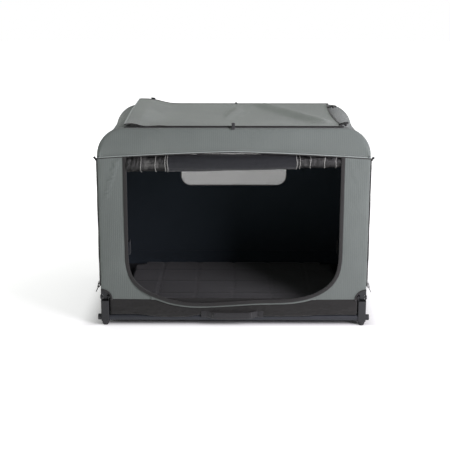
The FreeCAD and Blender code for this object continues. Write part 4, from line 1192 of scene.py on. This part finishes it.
def roll(name, ends, radius_at, centre_y, top_z, finish, seed, bunch=0.0, layers=3.0, count=260, around=120):
    """A sheet wound into a loose roll hanging below its top line."""
    x = np.linspace(ends[0], ends[1], count)
    turn = np.linspace(0, 2 * math.pi, around, endpoint=False)
    grid_x, grid_t = np.meshgrid(x, turn, indexing="ij")
    radius = radius_at(grid_x)
    lap = 0.0016 * ((grid_t - 0.9) % (2 * math.pi)) / (2 * math.pi)
    crease = 0.05 * np.abs(np.sin(2.5 * grid_t + 1.3 * np.sin(grid_x * 6 + seed)))
    crease = crease + 0.035 * ripple(grid_x * 0.25, grid_t * 0.02, 0.05, seed)
    crease = crease + 0.02 * ripple(grid_x, grid_t * 0.03, 0.018, seed + 1)
    r = radius * (0.95 + crease) + lap
    if bunch:
        near = np.exp(-(((grid_x - ends[0]) / 0.045) ** 2))
        r = r + bunch * near * np.sin(grid_x * 420 + 1.5 * np.sin(grid_t * 2))
    squash_z = 0.97
    z = top_z - radius * squash_z + r * np.sin(grid_t) * squash_z
    y = centre_y + r * np.cos(grid_t)
    rows = np.stack([grid_x, y, z], -1)
    flat = np.stack([grid_x, grid_t * radius], -1)
    caps = []
    for end, k in ((0, -1), (1, 1)):
        edge = rows[0 if end == 0 else -1]
        middle = edge.mean(0)
        steps = []
        for s in range(1, 13):
            share = 1 - s / 12.5
            ring = middle + (edge - middle) * share
            ring[:, 0] -= k * 0.0035 * (s % 3) * (0.5 + 0.5 * np.sin(turn + s))
            steps.append(ring)
        caps.append(np.array(steps))
    flat_start = np.repeat(flat[:1], 12, 0) - [0.003, 0] * np.arange(12, 0, -1)[:, None, None]
    flat_end = np.repeat(flat[-1:], 12, 0) + [0.003, 0] * np.arange(1, 13)[:, None, None]
    rows = np.concatenate([caps[0][::-1], rows, caps[1]])
    flat = np.concatenate([flat_start, flat, flat_end])
    piece = cloth_grid(name, rows, flat, [finish], wrap=True)
    close_ends(piece)
    return piece


def roll_radius(x):
    """The door's roll is thickest on the left."""
    share = (x - ROLL_LO.x) / (ROLL_HI.x - ROLL_LO.x)
    return 0.0300 - 0.0085 * share


def front_roll():
    y = (ROLL_LO.y + ROLL_HI.y) / 2
    top = ROLL_HI.z + 0.004
    door = roll("rolled_mesh_door", (ROLL_LO.x, ROLL_HI.x), roll_radius, y, top, "rolled_mesh", 7, 0.0020)
    ends = (SLEEVE_LO.x + 0.012, SLEEVE_HI.x)
    sleeve = roll("roll_sleeve", ends, lambda x: roll_radius(x) + 0.0024, y, top + 0.0016, "sleeve_cloth", 17)
    bands = []
    for k, x in enumerate((-0.312, -0.263, -0.230, ends[0] + 0.002, ends[1] - 0.002, 0.223, 0.258, 0.306,
                           0.344)):
        turn = np.linspace(0, 2 * math.pi, 49)
        on_sleeve = ends[0] <= x <= ends[1]
        radius = roll_radius(x) * 1.015 + (0.0030 if on_sleeve else 0.0016)
        middle = top - roll_radius(x) * 0.97
        wave = 0.0012 * np.sin(3 * turn + k)
        path = np.stack([x + wave, y + radius * np.cos(turn), middle + radius * np.sin(turn)], 1)
        out = np.stack([np.zeros(49), np.cos(turn), np.sin(turn)], 1)
        across = facing(path, (1, 0, 0))
        bands.append(sweep(f"roll_thread_{k}", path, across, oval(0.0016, 0.0012, 6), ["pale_thread"],
                           out=out))
    threads = join(bands, "roll_threads")
    for piece, slot_name in ((door, "dark_mesh"), (sleeve, "black_lining"), (threads, "black_lining")):
        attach(piece, "roof")
        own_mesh(piece)
    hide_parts("front_door_roll")
    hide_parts("door_roll_sleeve")


def rear_roll():
    y = (REAR_ROLL_LO.y + REAR_ROLL_HI.y) / 2
    radius = (REAR_ROLL_HI.z - REAR_ROLL_LO.z) / 2 - 0.0006
    ends = (REAR_ROLL_LO.x, REAR_ROLL_HI.x)
    cover = roll("rolled_rear_cover", ends, lambda x: radius + 0 * x, y, REAR_ROLL_HI.z, "grey_fabric", 27,
                 count=160, around=56)
    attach(cover, "roof")
    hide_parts("rear_flap_roll")
    ties = []
    for k, x in enumerate((-0.14, 0.14)):
        turn = np.linspace(0, 2 * math.pi, 41)
        path = np.stack([np.full(41, x), y + (radius + 0.0012) * np.cos(turn),
                         REAR_ROLL_HI.z - radius + (radius + 0.0012) * np.sin(turn)], 1)
        out = np.stack([np.zeros(41), np.cos(turn), np.sin(turn)], 1)
        ties.append(sweep(f"rear_roll_tie_{k}", path, facing(path, (1, 0, 0)), oval(0.010, 0.0014, 8),
                          ["black_binding"], out=out))
    tie = join(ties, "rear_roll_ties")
    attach(tie, "roof")


# ---------------------------------------------------------------- floor


def tub():
    """The low waterproof tub: a skirt between the corner posts, with a flat floor."""
    out_x, out_y = TUB_HI.x, TUB_HI.y
    in_x, in_y = POST_LO.x - 0.0035, -POST_HI.y - 0.0035
    plan = np.array([
        [-in_x, -out_y], [in_x, -out_y], [in_x, -in_y], [out_x, -in_y], [out_x, in_y], [in_x, in_y],
        [in_x, out_y], [-in_x, out_y], [-in_x, in_y], [-out_x, in_y], [-out_x, -in_y], [-in_x, -in_y],
        [-in_x, -out_y]])
    line = spaced(plan, 761)[:-1]
    for _ in range(2):
        line = (np.roll(line, 1, 0) + 2 * line + np.roll(line, -1, 0)) / 4
    run = (np.roll(line, -1, 0) - np.roll(line, 1, 0))
    run = run / np.linalg.norm(run, axis=1, keepdims=True)
    out = np.stack([run[:, 1], -run[:, 0]], 1)
    reach = reach_along(line)
    low, high = TUB_LO.z + 0.0012, SKIRT_TOP + 0.004
    z = np.linspace(high, low, 22)
    share = (high - z) / (high - low)
    near = np.minimum(np.abs(np.abs(line[:, 0]) - in_x), np.abs(np.abs(line[:, 1]) - in_y))
    free = np.clip(near / 0.03, 0, 1)
    in_front = line[:, 1] < -out_y + 0.004
    drape = 0.0085 * np.exp(-(((line[:, 0] + 0.215) / 0.085) ** 4))
    drape = drape + 0.0060 * np.exp(-(((line[:, 0] - 0.17) / 0.11) ** 4))
    drape = np.where(in_front, drape, 0)
    rows, flat = [], []
    for k, height in enumerate(z):
        swell = math.sin(math.pi * share[k])
        puff = 0.0032 * swell ** 0.8 * free
        long_fold = 0.0030 * ripple(reach, np.full(len(reach), height * 6), 0.24, 111) * swell
        fine = 0.0021 * ripple(reach, np.full(len(reach), height * 1.5), 0.045, 113) * free
        fine = fine + 0.0012 * ripple(reach, np.full(len(reach), height * 2.5), 0.02, 117) * free
        level = np.full(len(line), height) - 0.0012 * (1 + ripple(reach, reach * 0, 0.2, 115)) * (k == 0)
        level = level - drape * share[k] ** 2.5
        low_part = min(max((0.092 - height) / 0.03, 0), 1)
        over_rail = 0.0022 * np.clip(drape / 0.006, 0, 1) * share[k] ** 1.5
        spot = line + out * ((puff + long_fold + fine) * low_part + over_rail)[:, None]
        rows.append(np.stack([spot[:, 0], spot[:, 1], level], 1))
        flat.append(np.stack([reach, np.full(len(reach), height)], 1))
    for inset in (0.003, 0.02, 0.06):
        spot = line - out * inset
        rows.append(np.stack([spot[:, 0], spot[:, 1], np.full(len(line), TUB_LO.z + 0.0002)], 1))
        flat.append(np.stack([reach, np.full(len(reach), low - inset)], 1))
    piece = cloth_grid("tub_skirt", rows, flat, ["tub_cloth", "black_lining"], wrap=True)
    work = bmesh.new()
    work.from_mesh(piece.data)
    bottom = [e for e in work.edges if e.is_boundary and abs(e.verts[0].co.z - TUB_LO.z) < 0.001]
    bmesh.ops.holes_fill(work, edges=bottom, sides=0)
    bmesh.ops.recalc_face_normals(work, faces=work.faces)
    down = [f for f in work.faces if f.calc_center_median().z < TUB_LO.z + 0.0005]
    if sum(f.normal.z * f.calc_area() for f in down) > 0:
        bmesh.ops.reverse_faces(work, faces=work.faces)
    work.to_mesh(piece.data)
    work.free()
    thicken(piece)
    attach(piece, "base")
    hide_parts("floor_tub")


def corner_linings():
    """Black cloth that closes each inner corner behind the cuts over the posts."""
    in_x, in_y = NOTCH_X - 0.006, 0.003 - POST_HI.y
    for sx in (-1, 1):
        for sy in (-1, 1):
            bend = quarter((in_x + 0.006, in_y + 0.006), 0.006, 0.006, 180, 270, 9)
            line = spaced(np.concatenate([[[in_x, TUB_HI.y - 0.002]], bend, [[TUB_HI.x - 0.002, in_y]]]), 40)
            z = np.linspace(SKIRT_TOP - 0.004, NOTCH_Z + 0.016, 10)
            wave = 0.0008 * ripple(line[:, 0], line[:, 1], 0.03, 131 + sx + 2 * sy)
            rows = [np.stack([sx * (line[:, 0] + wave), sy * line[:, 1], np.full(40, h)], 1) for h in z]
            reach = reach_along(line)
            flat = [np.stack([reach, np.full(40, h)], 1) for h in z]
            name = f"corner_lining_{'front' if sy < 0 else 'rear'}_{'left' if sx < 0 else 'right'}"
            piece = cloth_grid(name, rows, flat, ["black_lining"], toward=(-sx, -sy, 0))
            thicken(piece, CLOTH, 0)
            fall(piece)
            declare(piece)


def mat_block(inset, radius, count=9):
    """The mat's plan and section before it is filled."""
    work = bmesh.new()
    lo, hi = MAT_LO + Vector((inset, inset, 0)), MAT_HI - Vector((inset, inset, 0))
    bmesh.ops.create_cube(work, size=1)
    for v in work.verts:
        v.co = Vector((
            (lo.x + hi.x) / 2 + v.co.x * (hi.x - lo.x),
            (lo.y + hi.y) / 2 + v.co.y * (hi.y - lo.y),
            (lo.z + hi.z) / 2 + v.co.z * (hi.z - lo.z)))
    upright = [e for e in work.edges if abs(e.verts[0].co.z - e.verts[1].co.z) > 0.001]
    bmesh.ops.bevel(work, geom=upright, offset=radius, segments=count, affect="EDGES")
    mesh = bpy.data.meshes.new("floor_mat_pad")
    work.to_mesh(mesh)
    work.free()
    return put("floor_mat_pad", mesh, ["mat_cover"])


SWELL_CAP = 0.006


def mat():
    """The padded floor mat: swollen by a cloth simulation up to a small cap, then quilted by formula."""
    pad = mat_block(0.010, 0.045)
    even = pad.modifiers.new("even", "REMESH")
    even.mode = "VOXEL"
    even.voxel_size = 0.006
    settle(pad)
    start = np.array([v.co for v in pad.data.vertices])
    cloth = pad.modifiers.new("fill", "CLOTH")
    cloth.settings.use_pressure = True
    cloth.settings.uniform_pressure_force = 4
    cloth.settings.effector_weights.gravity = 0
    cloth.settings.quality = 4
    cloth.point_cache.frame_start, cloth.point_cache.frame_end = 1, 20
    for step in range(1, 21):
        scene.frame_set(step)
    settle(pad)
    spot = np.array([v.co for v in pad.data.vertices])
    move = np.clip(spot - start, -SWELL_CAP, SWELL_CAP)
    spot = start + move
    x, y, z = spot.T
    raised = np.clip((z - MAT_LO.z) / (MAT_HI.z - MAT_LO.z), 0, 1)
    groove = np.zeros(len(spot))
    for line in np.linspace(MAT_LO.x, MAT_HI.x, 7)[1:-1]:
        groove = np.maximum(groove, np.exp(-(((x - line) / 0.013) ** 2)))
    for line in np.linspace(MAT_LO.y, MAT_HI.y, 5)[1:-1]:
        groove = np.maximum(groove, np.exp(-(((y - line) / 0.013) ** 2)))
    rim = np.minimum(MAT_HI.x - np.abs(x), MAT_HI.y - np.abs(y))
    crown = 1 - 0.45 * np.exp(-((np.clip(rim - 0.010, 0, 1) / 0.016) ** 2))
    height = (z - MAT_LO.z) * (1 - 0.20 * groove * raised) * crown
    height = height + 0.0007 * ripple(x, y, 0.05, 121) * raised
    spot[:, 2] = MAT_LO.z + np.clip(height, 0, MAT_HI.z - MAT_LO.z + 0.003)
    spot[:, 0] = np.clip(x, MAT_LO.x + 0.001, MAT_HI.x - 0.001)
    spot[:, 1] = np.clip(y, MAT_LO.y + 0.001, MAT_HI.y - 0.001)
    pad.data.vertices.foreach_set("co", spot.ravel())
    pad.data.update()
    smooth = pad.modifiers.new("smooth", "SUBSURF")
    smooth.levels = smooth.render_levels = 1
    settle(pad)
    for face in pad.data.polygons:
        face.use_smooth = True
    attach(pad, "base")
    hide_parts("floor_mat")


# ---------------------------------------------------------------- handle, toggles, zip pulls


def handle():
    """The carrying strap on the front of the tub, bowed out between two sewn tabs."""
    wall = -TUB_HI.y - 0.0022
    x = np.linspace(HANDLE_LO.x, HANDLE_HI.x, 90)
    share = (x - HANDLE_LO.x) / (HANDLE_HI.x - HANDLE_LO.x)
    bow = np.clip(np.minimum(share, 1 - share) / 0.2, 0, 1)
    bow = bow * bow * (3 - 2 * bow)
    y = wall + (HANDLE_LO.y + 0.004 - wall) * bow
    middle = (HANDLE_LO.z + HANDLE_HI.z) / 2 + 0.0015
    z = middle + 0.0015 * (share - 0.5) - 0.0022 * np.sin(share * math.pi)
    path = np.stack([x, y, z], 1)
    run = tangents(path)
    across = np.cross(run, np.cross(facing(path, (0, 0, 1)), run))
    across = across / np.linalg.norm(across, axis=1, keepdims=True)
    out = np.cross(run, across) * -1
    strap = sweep("handle_strap", path, across, oval(0.0215, 0.0022, 12), ["webbing"], out=out)
    grip = path[12:-12]
    wrap = sweep("handle_grip", grip, across[12:-12], oval(0.0225, 0.0052, 14), ["webbing"], out=out[12:-12])
    rows = [(grip + across[12:-12] * s + out[12:-12] * -0.0027, out[12:-12] * -1) for s in (-0.0085, 0.0085)]
    rows += [(grip + across[12:-12] * s + out[12:-12] * 0.0027, out[12:-12]) for s in (-0.0085, 0.0085)]
    seam = row_along("handle_stitches", rows, "stitch", "black_thread", 0.004, 0.003, 0.0009, 0.0008)
    for piece in (strap, wrap, seam):
        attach(piece, "handle")
    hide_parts("front_handle")
    tabs, boxes = [], []
    for left, right in ((TABS_LO.x, TABS_LO.x + 0.018), (TABS_HI.x - 0.018, TABS_HI.x)):
        line = np.linspace(left, right, 10)
        path = np.stack([line, np.full(10, wall - 0.0008), np.full(10, middle)], 1)
        tabs.append(sweep("handle_tab", path, facing(path, (0, 0, 1)), oval(0.0225, 0.0026, 12), ["webbing"],
                          out=facing(path, (0, -1, 0))))
        corners = [[left + 0.003, -0.008], [right - 0.003, -0.008], [right - 0.003, 0.008],
                   [left + 0.003, 0.008], [left + 0.003, -0.008], [right - 0.003, 0.008]]
        stitch = spaced(corners, 80)
        path = np.stack([stitch[:, 0], np.full(80, wall - 0.0023), middle + stitch[:, 1]], 1)
        boxes.append((path, facing(path, (0, -1, 0))))
    both = join(tabs, "handle_sewn_tabs")
    box = row_along("handle_tab_stitches", boxes, "stitch", "black_thread", 0.003, 0.0022, 0.0008, 0.0007)
    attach(both, "base")
    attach(box, "base")
    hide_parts("handle_tabs")


def barrel(name, centre, axis, length=0.020, radius=0.0035):
    """A waisted toggle barrel turned about its own axis."""
    along = np.linspace(-0.5, 0.5, 17)
    shape = radius * (0.72 + 0.28 * np.abs(along * 2) ** 1.5)
    shape[0] = shape[-1] = radius * 0.35
    shape[1] = shape[-2] = radius * 0.85
    axis = Vector(axis).normalized()
    side = axis.orthogonal().normalized()
    other = axis.cross(side)
    turn = np.linspace(0, 2 * math.pi, 16, endpoint=False)
    spokes = [side * math.cos(t) + other * math.sin(t) for t in turn]
    rows = [[tuple(Vector(centre) + axis * (length * a) + spoke * r) for spoke in spokes]
            for a, r in zip(along, shape)]
    flat = [[(length * a, r * t) for t in turn] for a, r in zip(along, shape)]
    piece = cloth_grid(name, rows, flat, ["toggle_plastic"], wrap=True)
    close_ends(piece)
    return piece


def loop_cord(name, points, radius=0.0011, finish="black_thread"):
    """A short cord through the points, smoothed."""
    line = np.asarray(points, float)
    for _ in range(3):
        near = np.concatenate([line[:1], line[:-1] * 0.75 + line[1:] * 0.25])
        far = np.concatenate([line[:-1] * 0.25 + line[1:] * 0.75, line[-1:]])
        mixed = np.empty((len(near) + len(far), 3))
        mixed[0::2], mixed[1::2] = near, far
        line = mixed
    path = spaced(line, 40)
    run = tangents(path)
    side = np.cross(run, facing(path, (0.31, 0.52, 0.79)))
    side = side / np.maximum(np.linalg.norm(side, axis=1, keepdims=True), 1e-6)
    turn = np.linspace(0, 2 * math.pi, 8, endpoint=False)
    ring = np.stack([np.cos(turn), np.sin(turn)], 1) * radius
    return sweep(name, path, side, ring, [finish], out=np.cross(run, side))


def toggles():
    """Barrel toggles and their loops: two by the hatch and one at each shoulder."""
    made = []
    x = HATCH_HI.x + 0.009
    drop = x - (HALF_WIDTH - SHOULDER)
    z = SHOULDER_Z + math.sqrt(max((SHOULDER + 0.0055) ** 2 - drop ** 2, 0))
    for k, (y, tilt) in enumerate(((-HALF_DEPTH + 0.042, (0.35, 1, 0.1)), (0.170, (0.5, 1, -0.1)))):
        made.append(barrel(f"hatch_toggle_{k}", (x + 0.002, y, z + 0.004), tilt, 0.028, 0.0058))
        made.append(loop_cord(f"hatch_loop_{k}", [
            (x - 0.022, y + 0.012, z - 0.001), (x - 0.008, y + 0.014, z + 0.006),
            (x + 0.003, y + 0.004, z + 0.008), (x + 0.003, y - 0.004, z + 0.008),
            (x - 0.010, y - 0.008, z + 0.005), (x - 0.024, y - 0.004, z - 0.001)], 0.0024))
    for sign in (-1, 1):
        for end in (-1, 1):
            at = (sign * (HALF_WIDTH + 0.0080), end * (HALF_DEPTH - 0.038), SHOULDER_Z - 0.020)
            made.append(barrel(f"shoulder_toggle_{sign}_{end}".replace("-", "m"), at, (sign * 0.65, 0, 0.75),
                               0.024, 0.0047))
            made.append(loop_cord(f"shoulder_loop_{sign}_{end}".replace("-", "m"), [
                (sign * (HALF_WIDTH - 0.001), at[1] - 0.007, at[2] - 0.008),
                (at[0] + sign * 0.002, at[1] - 0.005, at[2] - 0.004),
                (at[0] + sign * 0.004, at[1], at[2] + 0.001),
                (at[0] + sign * 0.002, at[1] + 0.005, at[2] - 0.004),
                (sign * (HALF_WIDTH - 0.001), at[1] + 0.007, at[2] - 0.008)]))
    piece = join(made, "toggles_and_loops")
    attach(piece, "roof")
    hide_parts("toggles")


def zip_slider(name, centre, run, out, body=0.014, pull=0.022, finish="toggle_plastic"):
    """A slider with a bridge and a tapered cord pull."""
    run, out = Vector(run).normalized(), Vector(out).normalized()
    side = out.cross(run)
    centre = Vector(centre)
    steps = np.linspace(-body / 2, body / 2, 9)
    path = np.array([centre + run * s for s in steps])
    wide = oval(body * 0.62, 0.0034, 12)
    block = sweep(name, path, facing(path, side), wide, [finish], out=facing(path, out))
    turn = np.linspace(math.pi, 0, 14)
    bridge = np.array([centre + run * (math.cos(t) * body * 0.36) + out * (0.0012 + math.sin(t) * 0.0032)
                       for t in turn])
    arch = sweep(name + "_bridge", bridge, facing(bridge, side), oval(0.0026, 0.0014, 8), [finish],
                 out=np.cross(tangents(bridge), facing(bridge, side)))
    tail = np.array([centre + run * (body * 0.25 + pull * s) + out * (0.0030 - 0.0012 * s)
                     for s in np.linspace(0, 1, 16)])
    tag = sweep(name + "_pull", tail, facing(tail, side), oval(0.0050, 0.0032, 10), [finish],
                out=facing(tail, out))
    return join([block, arch, tag], name)


def zip_sliders():
    middle = (SLIDER_LO + SLIDER_HI) / 2
    hatch_slider = zip_slider("hatch_slider", (SLIDER_LO.x + 0.007, middle.y, SLIDER_LO.z + 0.0022),
                              (1, 0, 0), (0, 0, 1))
    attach(hatch_slider, "zip_slider")
    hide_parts("hatch_zip_slider")
    made = []
    for sign, finish in ((-1, "black_thread"), (1, "pull_metal")):
        for k, z in enumerate((NOTCH_Z + 0.024, NOTCH_Z + 0.010)):
            at = (sign * (HALF_WIDTH + 0.0045), -HALF_DEPTH + 0.010 + 0.005 * k, z)
            lean = sign * (0.3 + 0.25 * k)
            made.append(zip_slider(f"corner_slider_{k}_{'left' if sign < 0 else 'right'}", at, (lean, 0, -1),
                                   (sign, 0, 0.2), 0.012, 0.016 + 0.006 * k, finish))
    piece = join(made, "corner_sliders")
    fall(piece)


# ---------------------------------------------------------------- frame pieces kept from the CAD

METAL = {
    "frame_tube": ("front_rail", "rear_rail", "left_rail", "right_rail", "front_leg_left", "front_leg_right",
                   "rear_leg_left", "rear_leg_right", "front_hoop", "rear_hoop",
                   "left_spreader", "right_spreader"),
    "steel": ("base_pivot_pins", "rail_screws"),
    # Painted shade: the steel knee pins take the dark toggle plastic so they stay dark in the shaded inside
    # of the crate.
    "toggle_plastic": ("front_knee_pins", "rear_knee_pins"),
    "foot_rubber": ("foot_front_left", "foot_front_right", "foot_rear_left", "foot_rear_right"),
    "stiff_board": ("floor_board",),
}


def paint_frame():
    """Gives the frame's own pieces their finishes; what isn't tube, pin, foot or board is moulded."""
    named = {node: finish for finish, group in METAL.items() for node in group}
    for name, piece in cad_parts.items():
        if piece.hide_render:
            continue
        piece.data.materials.clear()
        piece.data.materials.append(FINISHES[named.get(name, "moulded_black")])


def floor():
    """A plain pale floor, larger than the view. It glows more further out, and its glow fades out under the
    crate as a painted shadow.
    """
    size = 14
    mesh = bpy.data.meshes.new("studio_floor")
    mesh.from_pydata([(-size, -size, 0), (size, -size, 0), (size, size, 0), (-size, size, 0)], [],
                     [(0, 1, 2, 3)])
    piece = bpy.data.objects.new("studio_floor", mesh)
    scene.collection.objects.link(piece)
    pale = Finish("studio_floor", 0.9, Specular_IOR_Level=0.1)
    pale.shader.inputs["Base Color"].default_value = (0.80, 0.80, 0.80, 1)
    pale.shader.inputs["Emission Color"].default_value = (1, 1, 1, 1)
    spot = pale.node("SeparateXYZ", {"Vector": pale.place.outputs["Object"]})
    # Painted shadow: these fades take the glow out over the crate's footprint, so the floor stays dark under
    # it.
    lit = []
    for axis, near, far in (("X", HALF_WIDTH - 0.03, HALF_WIDTH + 0.10),
                            ("Y", HALF_DEPTH - 0.035, HALF_DEPTH + 0.015)):
        away = pale.math("ABSOLUTE", spot.outputs[axis])
        fade = {"Value": away, "From Min": near, "From Max": far}
        lit.append(pale.node("MapRange", fade, interpolation_type="SMOOTHSTEP").outputs[0])
    clear = pale.math("MAXIMUM", lit[0], lit[1])
    reach = pale.node("VectorMath", {0: pale.place.outputs["Object"]}, operation="LENGTH").outputs["Value"]
    far = pale.node("MapRange", {"Value": reach, "From Min": 0.8, "From Max": 2.4, "To Min": 0.56,
                                 "To Max": 1.0})
    # The glow, with the painted shadow under the crate cut out of it.
    pale.links.new(pale.math("MULTIPLY", clear, far.outputs[0]), pale.shader.inputs["Emission Strength"])
    mesh.materials.append(pale.material)


set_camera()
set_light()
front_wall()
notch_edges()
door_edge()
for end in ("front", "rear"):
    header(end)
rear_wall()
for side in ("left", "right"):
    side_wall(side)
    side_flap(side)
    shoulder(side)
roof()
hatch()
roof_tabs()
front_roll()
rear_roll()
tub()
corner_linings()
mat()
handle()
toggles()
zip_sliders()
paint_frame()
floor()
